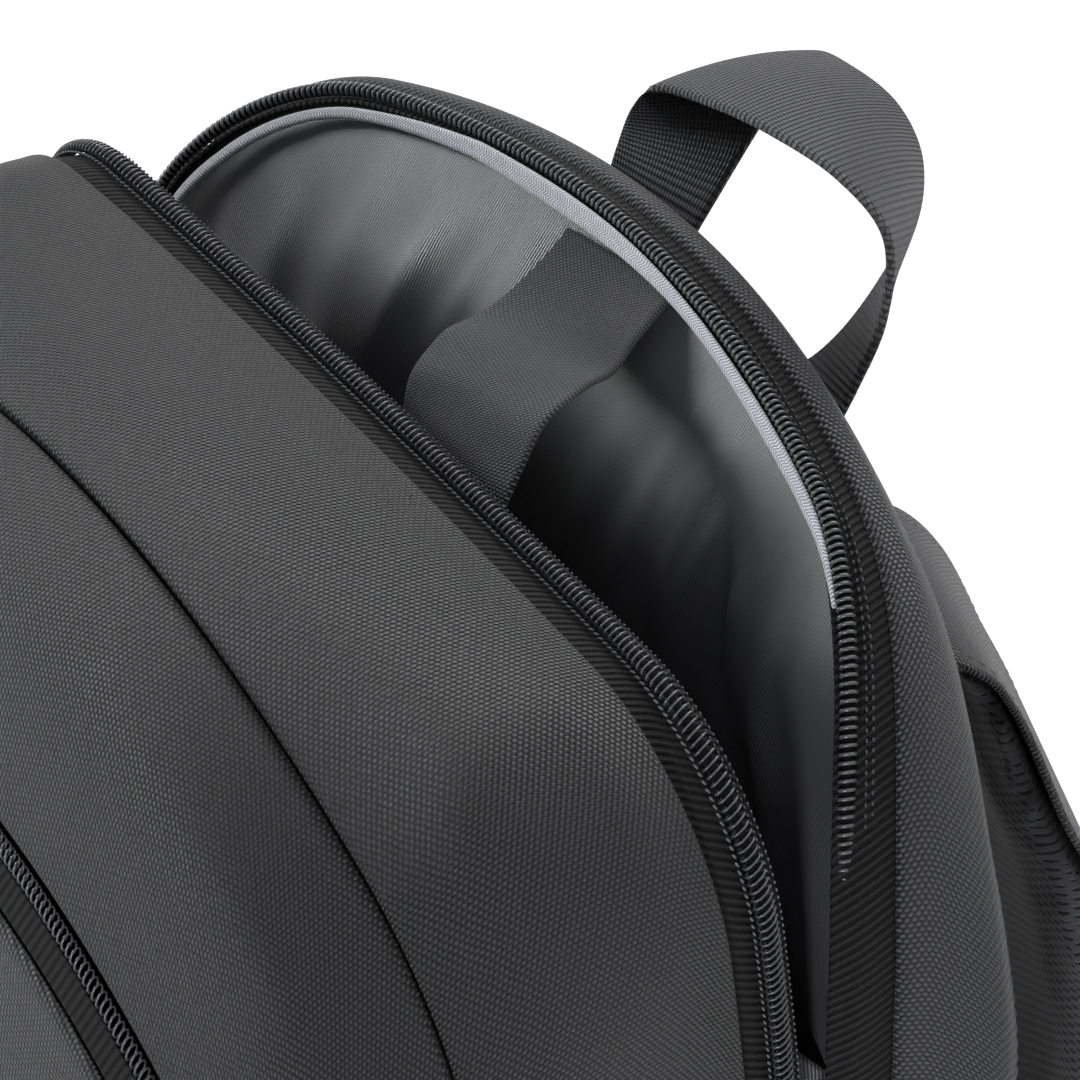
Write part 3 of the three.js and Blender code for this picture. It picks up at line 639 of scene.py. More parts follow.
bodyCloth = {"thick": 1.6, "along": 2.6, "across": 2.2, "material": "woven"}
panels = {
    "mainGusset": ("front", seams["tape"] + 0.15, seams["first"] - 0.15, "main_gusset", {
        **bodyCloth, "roll": (1.3, 2.4), "proud": (0.9, 0.0), "puff": 0.5, "uneven": 0.35,
    }),
    "frontPanel": ("front", seams["first"] + 0.15, seams["zip"] - 0.15, "front_panel", {
        **bodyCloth, "roll": (2.4, 1.0), "proud": (0.0, 0.4), "puff": 0.9, "uneven": 0.4,
    }),
    "backBand": ("back", seams["backTape"] + 0.15, seams["backEdge"], "back_band", {
        **bodyCloth, "material": "band", "roll": (2.9, 3.4), "proud": (0.2, 0.0), "puff": 0.6, "uneven": 0.25,
    }),
}
for name, (half, start, end, node, look) in panels.items():
    piece = settle(skinPanel(name, half, start, end, look), "woven_nylon", node)
print("body panels made")


# Paths of zips and seams, dressed by Geometry Nodes

def pathNodes(name, sizes):
    tree = bpy.data.node_groups.new(name, "GeometryNodeTree")
    tree.interface.new_socket(name="Geometry", in_out="INPUT", socket_type="NodeSocketGeometry")
    for label in sizes:
        tree.interface.new_socket(name=label, in_out="INPUT", socket_type="NodeSocketFloat")
    tree.interface.new_socket(name="Material", in_out="INPUT", socket_type="NodeSocketMaterial")
    tree.interface.new_socket(name="Geometry", in_out="OUTPUT", socket_type="NodeSocketGeometry")
    return tree, tree.nodes.new("NodeGroupInput")


def addNode(tree, kind, **sockets):
    made = tree.nodes.new(kind)
    for label, value in sockets.items():
        setInput(tree, made.inputs[label], value)
    return made


def vectorOf(tree, x, y, z):
    return addNode(tree, "ShaderNodeCombineXYZ", X=x, Y=y, Z=z).outputs[0]


def repeatAlong(tree, given, item):  # puts one item at each pitch of the path, turned with it
    line = addNode(tree, "GeometryNodeMeshToCurve", Mesh=given.outputs["Geometry"])
    steps = tree.nodes.new("GeometryNodeResampleCurve")
    steps.mode = "LENGTH"
    tree.links.new(line.outputs[0], steps.inputs["Curve"])
    tree.links.new(given.outputs["Pitch"], steps.inputs["Length"])
    outward = tree.nodes.new("GeometryNodeInputNamedAttribute")
    outward.data_type = "FLOAT_VECTOR"
    outward.inputs["Name"].default_value = "outward"
    turn = tree.nodes.new("FunctionNodeAxesToRotation")
    turn.primary_axis = "X"
    turn.secondary_axis = "Z"
    tangent = tree.nodes.new("GeometryNodeInputTangent")
    tree.links.new(tangent.outputs[0], turn.inputs[0])
    tree.links.new(outward.outputs["Attribute"], turn.inputs[1])
    spread = tree.nodes.new("GeometryNodeInstanceOnPoints")
    tree.links.new(steps.outputs["Curve"], spread.inputs["Points"])
    tree.links.new(item, spread.inputs["Instance"])
    tree.links.new(turn.outputs[0], spread.inputs["Rotation"])
    real = addNode(tree, "GeometryNodeRealizeInstances", Geometry=spread.outputs["Instances"])
    smooth = addNode(tree, "GeometryNodeSetShadeSmooth", Geometry=real.outputs["Geometry"])
    dressed = addNode(tree, "GeometryNodeSetMaterial", Geometry=smooth.outputs[0])
    tree.links.new(given.outputs["Material"], dressed.inputs["Material"])
    end = tree.nodes.new("NodeGroupOutput")
    tree.links.new(dressed.outputs["Geometry"], end.inputs["Geometry"])
    return tree


def makeCoilTree():  # one oval wire loop at each pitch of the zip
    tree, given = pathNodes("zipLoops", ["Pitch", "Width", "Height", "Wire", "Tilt"])
    ring = addNode(tree, "GeometryNodeCurvePrimitiveCircle", Resolution=10, Radius=0.5)
    upright = (0.0, math.radians(90.0), 0.0)
    size = vectorOf(tree, given.outputs["Height"], given.outputs["Width"], 1.0)
    circle = ring.outputs["Curve"]
    oval = addNode(tree, "GeometryNodeTransform", Geometry=circle, Rotation=upright, Scale=size)
    radius = calc(tree, "MULTIPLY", given.outputs["Wire"], 0.5)
    wire = addNode(tree, "GeometryNodeCurvePrimitiveCircle", Resolution=6, Radius=radius)
    loop = addNode(tree, "GeometryNodeCurveToMesh", Curve=oval.outputs["Geometry"])
    tree.links.new(wire.outputs["Curve"], loop.inputs["Profile Curve"])
    tilt = vectorOf(tree, 0.0, 0.0, given.outputs["Tilt"])
    slant = addNode(tree, "GeometryNodeTransform", Geometry=loop.outputs["Mesh"], Rotation=tilt)
    return repeatAlong(tree, given, slant.outputs["Geometry"])


def makeStitchTree():  # one rounded stitch at each pitch of the seam
    tree, given = pathNodes("stitches", ["Pitch", "Long", "Wide", "High", "Tilt"])
    bead = addNode(tree, "GeometryNodeMeshUVSphere", Segments=8, Rings=5, Radius=0.5)
    size = vectorOf(tree, given.outputs["Long"], given.outputs["Wide"], given.outputs["High"])
    tilt = vectorOf(tree, 0.0, 0.0, given.outputs["Tilt"])
    shape = addNode(tree, "GeometryNodeTransform", Geometry=bead.outputs["Mesh"], Rotation=tilt, Scale=size)
    return repeatAlong(tree, given, shape.outputs["Geometry"])


trees = {"coil": makeCoilTree(), "stitch": makeStitchTree()}


def alongPaths(name, kind, paths, sizes, material):
    points = np.concatenate([p for p, _ in paths])
    ups = np.concatenate([o for _, o in paths])
    edges = []
    start = 0
    for p, _ in paths:
        edges += [(k, k + 1) for k in range(start, start + len(p) - 1)]
        start += len(p)
    mesh = bpy.data.meshes.new(name + "Path")
    mesh.from_pydata(toFrame(points).tolist(), edges, [])
    outward = mesh.attributes.new("outward", "FLOAT_VECTOR", "POINT")
    outward.data.foreach_set("vector", ups.astype(np.float32).ravel())
    piece = bpy.data.objects.new(name, mesh)
    scene.collection.objects.link(piece)
    modifier = piece.modifiers.new("along", "NODES")
    modifier.node_group = trees[kind]
    for item in trees[kind].interface.items_tree:
        if item.in_out == "INPUT" and item.name in sizes:
            modifier[item.identifier] = sizes[item.name]
        if item.in_out == "INPUT" and item.name == "Material":
            modifier[item.identifier] = materials[material]
    freeze(piece)
    return piece


def skinPath(half, at, lift, step):
    u, _ = evenPlaces(half, at, step)
    out = skinOut(half, at, u)
    return skin(half, at, u) + out * lift, out


def coilSizes(look):
    return {
        "Pitch": look["pitch"] * mm, "Width": look["wide"] * mm, "Height": look["high"] * mm,
        "Wire": look["wire"] * mm, "Tilt": math.radians(look["tilt"]),
    }


def stitchSizes(pitch, long, wide, high, tilt):
    return {
        "Pitch": pitch * mm, "Long": long * mm, "Wide": wide * mm, "High": high * mm,
        "Tilt": math.radians(tilt),
    }


def ribbon(name, a, b, thick, material, across, bow=0.0):  # a strap between two edge lines
    steps = np.linspace(0.0, 1.0, across + 1)
    edge = np.array([0.006, 0.02, 0.045])
    t = np.concatenate([[0.0], edge, steps[1:-1], 1 - edge[::-1], [1.0]])
    wide = np.linalg.norm(b - a, axis=1)
    side = unit(b - a)
    run = lengths((a + b) / 2)
    ahead = unit(np.gradient((a + b) / 2, axis=0))
    up = unit(np.cross(side, ahead))
    distance = np.minimum(t, 1 - t)[None, :] * wide[:, None]
    turned = np.clip(1 - distance / (thick / 2), 0.0, 1.0)
    half = thick / 2 * np.sqrt(1 - turned**2)
    base = a[:, None, :] + (b - a)[:, None, :] * t[None, :, None]
    base = base + up[:, None, :] * (bow * (1 - (2 * t[None, :] - 1) ** 2))[..., None]
    top = base + up[:, None, :] * half[..., None]
    low = base - up[:, None, :] * half[..., None]
    uv = np.stack(np.broadcast_arrays(run[:, None], t[None, :] * wide[:, None]), axis=-1)
    ring = np.concatenate([top, low[:, -2:0:-1]], axis=1)
    ringUv = np.concatenate([uv, uv[:, -2:0:-1]], axis=1)
    faces = tubeFaces(*ring.shape[:2])
    return newPiece(name, ring.reshape(-1, 3), faces, ringUv.reshape(-1, 2), material)


def stripAlong(path, side, wide):  # the two edges of a strip centred on a path
    return path - side * wide / 2, path + side * wide / 2


# Zips: tapes, coils and the cords inside the rear coils

rearZip = {
    "coil": {"pitch": 1.65, "wide": 4.4, "high": 2.4, "wire": 0.48, "tilt": 20.0, "lift": 0.25, "cord": 0.4},
    "coilBack": {
        "pitch": 1.65, "wide": 3.1, "high": 2.4, "wire": 0.74, "tilt": 8.0, "lift": 0.25, "cord": 0.74,
    },
    "tapeThick": 0.9,
    "tapeFront": [  # distance, lift over the crown, lift where the tape is turned in
        (-4.6, -0.9, -0.9), (-2.6, -1.5, -1.5), (2.0, -1.55, -1.55), (5.5, -1.1, -1.1), (9.9, -1.2, -1.2),
    ],
    "tapeBack": [(-2.8, -1.5, -0.1), (2.4, -1.55, 0.7), (5.5, -0.8, 0.3), (9.9, -1.4, -1.4)],
    "sink": 3.0,  # mm that the back coil turns in low on the near side
    "turn": (0.36, 0.2),  # where on the near side it starts to turn in, and over what share
}


def turnedIn(u):  # 0 over the crown, 1 low on the near side, where the open half lies twisted
    start, spread = rearZip["turn"]
    t = np.clip((2 * u - 1 - start) / spread, 0.0, 1.0)
    return t * t * (3 - 2 * t)


def zipTape(name, half, profile, node):
    table = np.array(profile)
    at = np.linspace(table[0, 0], table[-1, 0], 15)
    u, _ = evenPlaces(half, 4.0, 2.4)
    turned = turnedIn(u)[:, None]
    crown, near = (np.interp(at, table[:, 0], table[:, k]) for k in (1, 2))
    lift = crown * (1 - turned) + near * turned
    base = skin(half, at[None, :], u[:, None])
    out = skinOut(half, at[None, :], u[:, None])
    uv = np.stack(np.broadcast_arrays(crownRun(base, u), at[None, :] + 10.0), axis=-1)
    outer = base + out * lift[..., None]
    inner = outer - out * rearZip["tapeThick"]
    return settle(shell(name, outer, inner, uv, "tape"), "zip_tape", node)


def zipCoil(name, half, at, look, node, sink=0.0):
    u, _ = evenPlaces(half, at, 1.2)
    path, out = skinPath(half, at, look["lift"], 1.2)
    path = path - out * (sink * turnedIn(u))[:, None]
    piece = alongPaths(name, "coil", [(path, out)], coilSizes(look), "coil")
    settle(piece, "zip_coil", node)
    side = unit(np.cross(unit(np.gradient(path, axis=0)), out))
    a, b = stripAlong(path - out * 0.1, side, look["wide"] * look["cord"])
    settle(ribbon(name + "Cord", a, b, look["high"] * look["cord"], "cord", across=4), "zip_coil")


zipTape("rearZipTapeFront", "front", rearZip["tapeFront"], "rear_zip_tape_front")
zipTape("rearZipTapeBack", "back", rearZip["tapeBack"], "rear_zip_tape_back")
zipCoil("rearZipCoilFront", "front", 0.0, rearZip["coil"], "rear_zip_coil_front")
zipCoil("rearZipCoilBack", "back", -0.2, rearZip["coilBack"], "rear_zip_coil_back", rearZip["sink"])

frontZip = {**rearZip["coil"], "wide": 3.6, "lift": -0.4, "tilt": 22.0, "pitch": 1.7}
zipMid = seams["zip"] + 3.0
path, out = skinPath("front", zipMid, frontZip["lift"], 1.2)
piece = alongPaths("frontZipCoil", "coil", [(path, out)], coilSizes(frontZip), "coil")
settle(piece, "zip_coil", "front_zip_coil")
frontTape = {
    "thick": 1.1, "along": 2.6, "across": 1.4, "material": "tape", "roll": (0.3, 0.8), "proud": (-0.3, 0.0),
}
piece = skinPanel("frontZipTape", "front", zipMid + 2.3, seams["zipEdge"] - 0.15, frontTape)
settle(piece, "zip_tape", "front_zip_tape")
print("zips made")


# Panels that close an arch, from their middle to their edge

def lineOf(half, at):
    return smoothRows(skinLines[half], float(at))


def inset(line, by):
    drawn = line.copy()
    drawn[2:6] -= by
    return drawn


heightGrid = np.linspace(0.0, 455.0, 900)
heightRun = {half: lengths(np.stack([rim(heightGrid, half), heightGrid], axis=1)) for half in rimColumn}


def archEdge(line, step):
    fine = np.linspace(0.0, 1.0, 2400)
    x, z, _, _ = archPoint(np.broadcast_to(line, (len(fine), 6)), fine)
    run = lengths(np.stack([x, z], axis=1))
    count = int(round(run[-1] / step))
    u = np.interp(np.linspace(0.0, run[-1], count + 1), run, fine)
    x, z, _, _ = archPoint(np.broadcast_to(line, (count + 1, 6)), u)
    steps = max(int(round(2 * line[2] / step)), 4)
    footX = line[2] * (1 - 2 * np.arange(1, steps) / steps)
    return np.concatenate([x, footX]), np.concatenate([z, np.full(steps - 1, foot)])


def archPanel(name, lineFront, lineRear, frontAt, rearAt, look):
    edgeX, edgeZ = archEdge(lineFront, look["step"])
    rearX, rearZ = archEdge(lineRear, look["step"])
    count = len(edgeX)
    if len(rearX) != count:  # the rear edge follows the front one's places
        share = np.stack([edgeX / lineFront[2], (edgeZ - foot) / (lineFront[3] - foot)], axis=1)
        rearX, rearZ = share[:, 0] * lineRear[2], foot + share[:, 1] * (lineRear[3] - foot)
    mid = foot + (lineFront[3] - foot) * 0.5
    r = np.concatenate([np.linspace(0.0, 0.955, look["rings"])[1:], [0.97, 0.98, 0.988, 0.994, 0.998, 1.0]])
    faceFront = np.zeros((len(r), count, 3))
    faceRear = np.zeros((len(r), count, 3))
    for face, ex, ez, depth in ((faceFront, edgeX, edgeZ, frontAt), (faceRear, rearX, rearZ, rearAt)):
        x = ex[None, :] * r[:, None]
        z = mid + (ez - mid)[None, :] * r[:, None]
        face[..., 0], face[..., 2] = x, z
        face[..., 1] = depth(x, z, np.broadcast_to(r[:, None], x.shape))
    start = np.array(0.0)
    middle = np.array([[0.0, float(depth(start, np.array(mid), start)), mid] for depth in (frontAt, rearAt)])
    points = np.concatenate([faceFront.reshape(-1, 3), faceRear.reshape(-1, 3), middle])
    size = len(r) * count
    faces = []
    for shift, turned in ((0, False), (size, True)):
        centre = 2 * size + int(turned)
        for j in range(count):
            k = (j + 1) % count
            face = (centre, shift + j, shift + k)
            faces.append(face[::-1] if turned else face)
            for i in range(len(r) - 1):
                at, to = shift + i * count, shift + (i + 1) * count
                face = (at + j, to + j, to + k, at + k)
                faces.append(face[::-1] if turned else face)
    last = (len(r) - 1) * count
    for j in range(count):
        k = (j + 1) % count
        faces.append((last + j, size + last + j, size + last + k, last + k))
    uv = np.stack([points[:, 0], np.interp(points[:, 2], heightGrid, heightRun[look["rim"]])], axis=1)
    return newPiece(name, points, faces, uv, look["material"])


pocketLook = {
    "step": 3.2, "rings": 34, "rim": "front", "material": "woven", "at": 113.9, "bulge": 20.0, "thick": 1.6,
    "reach": 110.0, "roll": 2.0, "uneven": 0.5,
}
pocketLine = inset(lineOf("front", seams["zipEdge"]), 1.5)


def pocketFront(x, z, r):
    low = 1 - 0.35 * (z - foot) / (pocketLine[3] - foot)
    swell = pocketLook["bulge"] * low * (1 - r**3.2)
    turned = rolled((1 - r) * pocketLook["reach"], pocketLook["roll"])
    return rim(z, "front") - pocketLook["at"] - swell + turned + soft(x, z, pocketLook["uneven"]) * (1 - r**6)


def pocketRear(x, z, r):
    return pocketFront(x, z, np.minimum(r, 0.985)) + pocketLook["thick"]


piece = archPanel("frontPocket", pocketLine, pocketLine, pocketFront, pocketRear, pocketLook)
settle(piece, "woven_nylon", "front_pocket")

wallLook = {
    "step": 4.0, "rings": 26, "rim": "front", "material": "lining", "at": 6.2, "belly": 12.0, "thick": 2.4,
    "uneven": 0.9,
}
wallLine = inset(lineOf("front", seams["tape"]), 2.2)


def wallRear(x, z, r):
    waves = soft(x * 1.4, z * 0.8, wallLook["uneven"]) * (1 - r**8)
    return rim(z, "front") - wallLook["at"] - wallLook["belly"] * (1 - r**4) + waves


def wallFront(x, z, r):
    return wallRear(x, z, r) - wallLook["thick"]


piece = archPanel("compartmentWall", wallLine, wallLine, wallFront, wallRear, wallLook)
settle(piece, "lining", "compartment_wall")

# Lining on the padded back, drawn to the zip at its edge, with soft folds down from the strap's seam
liningLook = {
    "step": 2.3, "rings": 72, "rim": "back", "material": "lining", "at": 7.6, "drawn": 5.4, "thick": 1.2,
    "folds": [  # across, width, depth
        (-104, 12, 1.6), (-62, 22, 2.4), (-20, 16, 1.0), (56, 18, 1.6), (96, 14, 1.6),
    ],
    "creases": [  # x and z of the top, x and z of the foot, width, depth
        (57, 424, 60, 380, 4, 2.2), (64, 420, 86, 396, 4, 2.0), (74, 416, 100, 380, 5, 2.0),
        (46, 425, 40, 370, 6, 1.6), (90, 406, 112, 372, 5, 1.8), (30, 427, 22, 360, 8, 1.2),
        (-24, 428, -16, 390, 7, 2.4), (-40, 426, -62, 372, 9, 2.0), (-70, 418, -74, 350, 8, 1.6),
        (-92, 404, -100, 340, 8, 1.6), (104, 392, 122, 330, 6, 1.6), (-112, 384, -118, 320, 6, 1.4),
        (55, 425, 50, 392, 2.2, 1.0), (66, 419, 63, 374, 2.4, 1.3), (70, 417, 92, 384, 2.2, 1.3),
        (82, 411, 84, 362, 2.6, 1.4), (94, 402, 110, 372, 2.4, 1.3), (-48, 424, -52, 384, 2.6, 1.2),
        (-30, 427, -38, 380, 2.8, 1.2),
    ],
    "lap": (34.0, 100.0, 6.0),  # where the near side starts to come forward, over what width, and how far
    "lapHigh": (320.0, 60.0),  # the height where it starts, and over what height
    "gather": 0.45,
    "gatherPitch": 19.0,
    "fade": 120.0,  # mm above the foot over which the folds begin
}
liningLine = inset(lineOf("back", 0.0), 2.6)


def crease(x, z, row):
    topX, topZ, footX, footZ, wide, deep = row
    share = np.clip((topZ - z) / (topZ - footZ), 0.0, 1.0)
    middle = topX + (footX - topX) * share
    ridge = np.exp(-(((x - middle) / (wide * (0.5 + 1.2 * share))) ** 2))
    return deep * ridge * np.sin(math.pi * np.clip(share * 0.9 + 0.1, 0, 1))


def liningRear(x, z, r):
    fade = np.clip((z - foot) / liningLook["fade"], 0.0, 1.0)
    fold = sum(deep * np.exp(-(((x - at) / wide) ** 2)) for at, wide, deep in liningLook["folds"])
    gather = np.exp(-(1 - r) * 11) * np.sin(2 * math.pi * (x + 0.6 * z) / liningLook["gatherPitch"])
    small = sum(crease(x, z, row) for row in liningLook["creases"])
    start, width = liningLook["lapHigh"]
    high = np.clip((z - start) / width, 0.0, 1.0)
    start, width, deep = liningLook["lap"]
    lap = deep * np.clip((x - start) / width, 0.0, 1.0) ** 1.5 * high
    loose = fade * (fold + small + lap + liningLook["gather"] * gather) * (1 - r**14)
    return rim(z, "back") + liningLook["at"] - liningLook["drawn"] * r**8 - loose


def liningFront(x, z, r):
    return liningRear(x, z, r) - liningLook["thick"]


piece = archPanel("backLining", liningLine, liningLine, liningFront, liningRear, liningLook)
settle(piece, "lining", "back_lining")

# Pale binding that wraps the lining's top edge close to the coil, a little twisted
bindingLook = {
    "from": 0.25, "to": 0.674, "steps": 460, "edge": 1.5, "wide": 2.7, "high": 1.6, "lift": 2.3, "twist": 0.1,
    "wider": 1.7, "widest": (0.46, 0.045),  # extra width, its place along the edge and its spread
    "inward": 4.0, "leaves": (0.42, 0.12),  # how far it leaves the coil at the far side, and from where
    "taper": 0.03,
}


def makeBinding(look):
    line = lineOf("back", 0.0)
    u = np.linspace(look["from"], look["to"], look["steps"])
    wide = look["wide"] * (1 + 0.08 * np.sin(u * 61 + 2.0))
    place, spread = look["widest"]
    wide = wide + look["wider"] * np.exp(-(((u - place) / spread) ** 2))
    wide = wide * (0.3 + 0.7 * np.clip((look["to"] - u) / look["taper"], 0.0, 1.0))
    lines = np.tile(line, (len(u), 1))
    place, spread = look["leaves"]
    edge = look["edge"] + look["inward"] * np.clip((place - u) / spread, 0.0, 1.0)
    lines[:, 2:6] -= (edge + wide / 2 + 0.15 * np.sin(u * 47))[:, None]
    x, z, nx, nz = archPoint(lines, u)
    lean = (rim(z + 1, "back") - rim(z - 1, "back")) / 2
    side = unit(np.stack([nx, lean * nz, nz], axis=1))
    up = unit(np.cross(np.stack([nz, np.zeros_like(nz), -nx], axis=1), side))
    up = up * np.where(up[:, 1:2] < 0, -1.0, 1.0)
    path = np.stack([x, liningFront(x, z, np.ones_like(x)), z], axis=1)
    path = path - up * look["lift"]
    run = lengths(path)
    twist = look["twist"] * (np.sin(run / 29 + 0.4) + 0.6 * np.sin(run / 13))
    across = side * np.cos(twist)[:, None] + up * np.sin(twist)[:, None]
    a, b = stripAlong(path, across, wide[:, None])
    piece = ribbon("liningBinding", a, b, look["high"], "binding", across=8)
    return settle(piece, "binding", "lining_binding")


makeBinding(bindingLook)

# Folded lining between the two halves at each side
sideFold = {
    "near": 138.6, "mid": 131.0, "far": 135.2, "high": 352.0, "thick": 1.2, "slope": 44.0,
    "tuck": 5.2, "seat": 0.9,  # mm that it goes under the front rim, and past the back rim
}


def makeSideGusset(name, sign, node):
    z = foot + 2 + sideFold["high"] * np.linspace(0.0, 1.0, 110)
    near, far = rim(z, "front") - sideFold["tuck"], rim(z, "back") + sideFold["seat"]
    rows = np.array([(0, sideFold["near"]), (1, sideFold["mid"]), (2, sideFold["far"])])
    t = np.linspace(0.0, 2.0, 15)
    x = smoothRows(rows, t)[:, 1]
    grid = np.zeros((len(z), len(t), 3))
    grid[..., 0] = x[None, :] + 0.5 * np.sin(z / 26)[:, None] * np.sin(math.pi * t / 2)[None, :]
    grid[..., 1] = near[:, None] + (far - near)[:, None] * (t / 2)[None, :]
    rise = (z - foot - 2) / sideFold["high"]
    grid[..., 2] = z[:, None] - (sideFold["near"] - x)[None, :] * rise[:, None]
    grid[..., 2] -= sideFold["slope"] * ((t / 2) ** 0.8)[None, :] * (rise**6)[:, None]
    inner = grid.copy()
    inner[..., 0] -= sideFold["thick"]
    uv = np.stack(np.broadcast_arrays(grid[..., 1], grid[..., 2]), axis=-1)
    for part in (grid, inner):
        part[..., 0] *= sign
    piece = shell(name, grid, inner, uv, "lining")
    settle(piece, "lining", node)


makeSideGusset("sideGussetLeft", -1.0, "side_gusset_left")
makeSideGusset("sideGussetRight", 1.0, "side_gusset_right")
print("compartment lined")


# Retaining strap, grab handle

def smoothPath(rows, step):  # an even path of all columns through the given rows
    table = np.column_stack([np.arange(len(rows)), np.array(rows, float)])
    fine = smoothRows(table, np.linspace(0, len(rows) - 1, 1200))[:, 1:]
    run = lengths(fine[:, :3])
    count = int(round(run[-1] / step))
    wanted = np.linspace(0.0, run[-1], count + 1)
    return np.stack([np.interp(wanted, run, fine[:, k]) for k in range(fine.shape[1])], axis=1)


elasticLook = {
    "wide": 38.0, "thick": 1.5,
    "rows": [  # x, y, z of the middle, sideways tilt
        (4, 55.2, 431.2, 0.08), (4.6, 51.4, 428.2, 0.1), (6, 45.2, 424.6, 0.1), (8, 38.3, 421.9, 0.1),
        (11, 31.5, 421.4, 0.1), (14, 25.2, 422, 0.1), (19.5, 14.9, 420.1, 0.06), (23, 8.9, 414.7, 0.02),
        (25.5, 4.5, 409.3, 0.0), (26.3, 0.6, 401, 0.0), (26.8, -3.2, 393, 0.0), (27, -5.6, 386, 0.0),
    ],
}


def makeElastic(look):
    path = smoothPath(look["rows"], 0.9)
    for _ in range(24):  # eases the bends
        path[1:-1] = (path[:-2] + 2 * path[1:-1] + path[2:]) / 4
    middle = path[:, :3]
    ahead = unit(np.gradient(middle, axis=0))
    wanted = np.stack([np.ones(len(path)), np.zeros(len(path)), path[:, 3]], axis=1)
    side = unit(wanted - ahead * np.sum(wanted * ahead, axis=1, keepdims=True))
    a, b = stripAlong(middle, side, look["wide"])
    piece = ribbon("retainingStrap", a, b, look["thick"], "elastic", across=20)
    settle(piece, "elastic", "retaining_strap")


makeElastic(elasticLook)

handleLook = {
    "thick": 2.0,
    "rows": [  # x, y, z of one edge, then of the other, and how far the cloth bows between them
        (-42, 69.0, 396, -14, 69.0, 396, 0), (-42, 74.0, 404, -14, 74.0, 404, 0),
        (-42.5, 78.6, 413, -14.5, 79.2, 413, 0), (-43.5, 82, 424, -16.5, 89, 424.5, 0),
        (-46, 87, 431.5, -33, 114, 433.5, -0.6), (-42, 90, 436.8, -40, 126.5, 436, -2),
        (-22, 90, 443.6, -25, 127, 439.6, -2.6), (0, 90, 448.6, -9, 127, 439.2, -2.4),
        (26, 90, 451.6, 4, 124, 434.6, -2), (44, 90, 447.4, 14, 116, 427.5, -1),
        (49, 87, 433, 22, 102, 419, 0), (48, 82, 418, 23, 90, 410, 0),
        (48, 74.4, 404, 20, 75.6, 403, 0), (48, 69.0, 396, 20, 69.0, 396, 0),
    ],
}


def makeHandle(look):
    table = np.column_stack([np.arange(len(look["rows"])), np.array(look["rows"], float)])
    fine = smoothRows(table, np.linspace(0, len(table) - 1, 1400))[:, 1:]
    run = lengths((fine[:, :3] + fine[:, 3:6]) / 2)
    wanted = np.linspace(0.0, run[-1], int(run[-1] / 0.9))
    path = np.stack([np.interp(wanted, run, fine[:, k]) for k in range(7)], axis=1)
    piece = ribbon("grabHandle", path[:, :3], path[:, 3:6], look["thick"], "webbing", 18, path[:, 6:7])
    settle(piece, "webbing", "grab_handle")


makeHandle(handleLook)
print("strap and handle made")


# Padded back and shoulder straps: a remeshed solid that swells under a short cloth run

def puffUp(piece, look, allowed):
    remesh = piece.modifiers.new("remesh", "REMESH")
    remesh.mode = "VOXEL"
    remesh.voxel_size = look["voxel"] * mm
    freeze(piece)
    count = len(piece.data.vertices)
    rest = np.zeros(count * 3)
    piece.data.vertices.foreach_get("co", rest)
    rest = rest.reshape(-1, 3)
    cloth = piece.modifiers.new("cloth", "CLOTH")
    cloth.settings.use_pressure = True
    cloth.settings.uniform_pressure_force = look["pressure"]
    cloth.settings.effector_weights.gravity = 0.0
    cloth.settings.tension_stiffness = 12.0
    cloth.point_cache.frame_start = 1
    cloth.point_cache.frame_end = look["frames"]
    for step in range(1, look["frames"] + 1):
        scene.frame_set(step)
    graph = bpy.context.evaluated_depsgraph_get()
    swollen = np.zeros(count * 3)
    piece.evaluated_get(graph).data.vertices.foreach_get("co", swollen)
    piece.modifiers.clear()
    scene.frame_set(1)
    move = swollen.reshape(-1, 3) - rest
    size = np.linalg.norm(move, axis=1, keepdims=True)
    move = move * np.minimum(1.0, look["cap"] * mm / np.maximum(size, 1e-9))
    move = move * allowed(rest / mm + np.array([0.0, depthShift, 0.0]), move)[:, None]
    piece.data.vertices.foreach_set("co", (rest + move).ravel())
    finer = piece.modifiers.new("finer", "SUBSURF")
    finer.levels = finer.render_levels = 1
    freeze(piece)
    shadeSmooth(piece.data)


padLook = {
    "step": 6.0, "rings": 24, "rim": "back", "material": "airMesh", "front": 9.6, "rear": 35.6,
    "voxel": 4.2, "pressure": 4.0, "frames": 20, "cap": 3.0,
}
padFrontLine = np.array([0.0, 0.0, 143.0, 405.5, 338.0, 68.0])
padRearLine = np.array([0.0, 0.0, 148.6, 407.2, 340.0, 71.0])


def padFront(x, z, r):
    return rim(z, "back") + padLook["front"]


def padRear(x, z, r):
    return rim(z, "back") + padLook["rear"] - 3.0 * r**6


piece = archPanel("backPad", padFrontLine, padRearLine, padFront, padRear, padLook)
puffUp(piece, padLook, lambda at, move: np.where(move[:, 1] > 0, 1.0, 0.0))
settle(piece, "air_mesh", "back_pad")

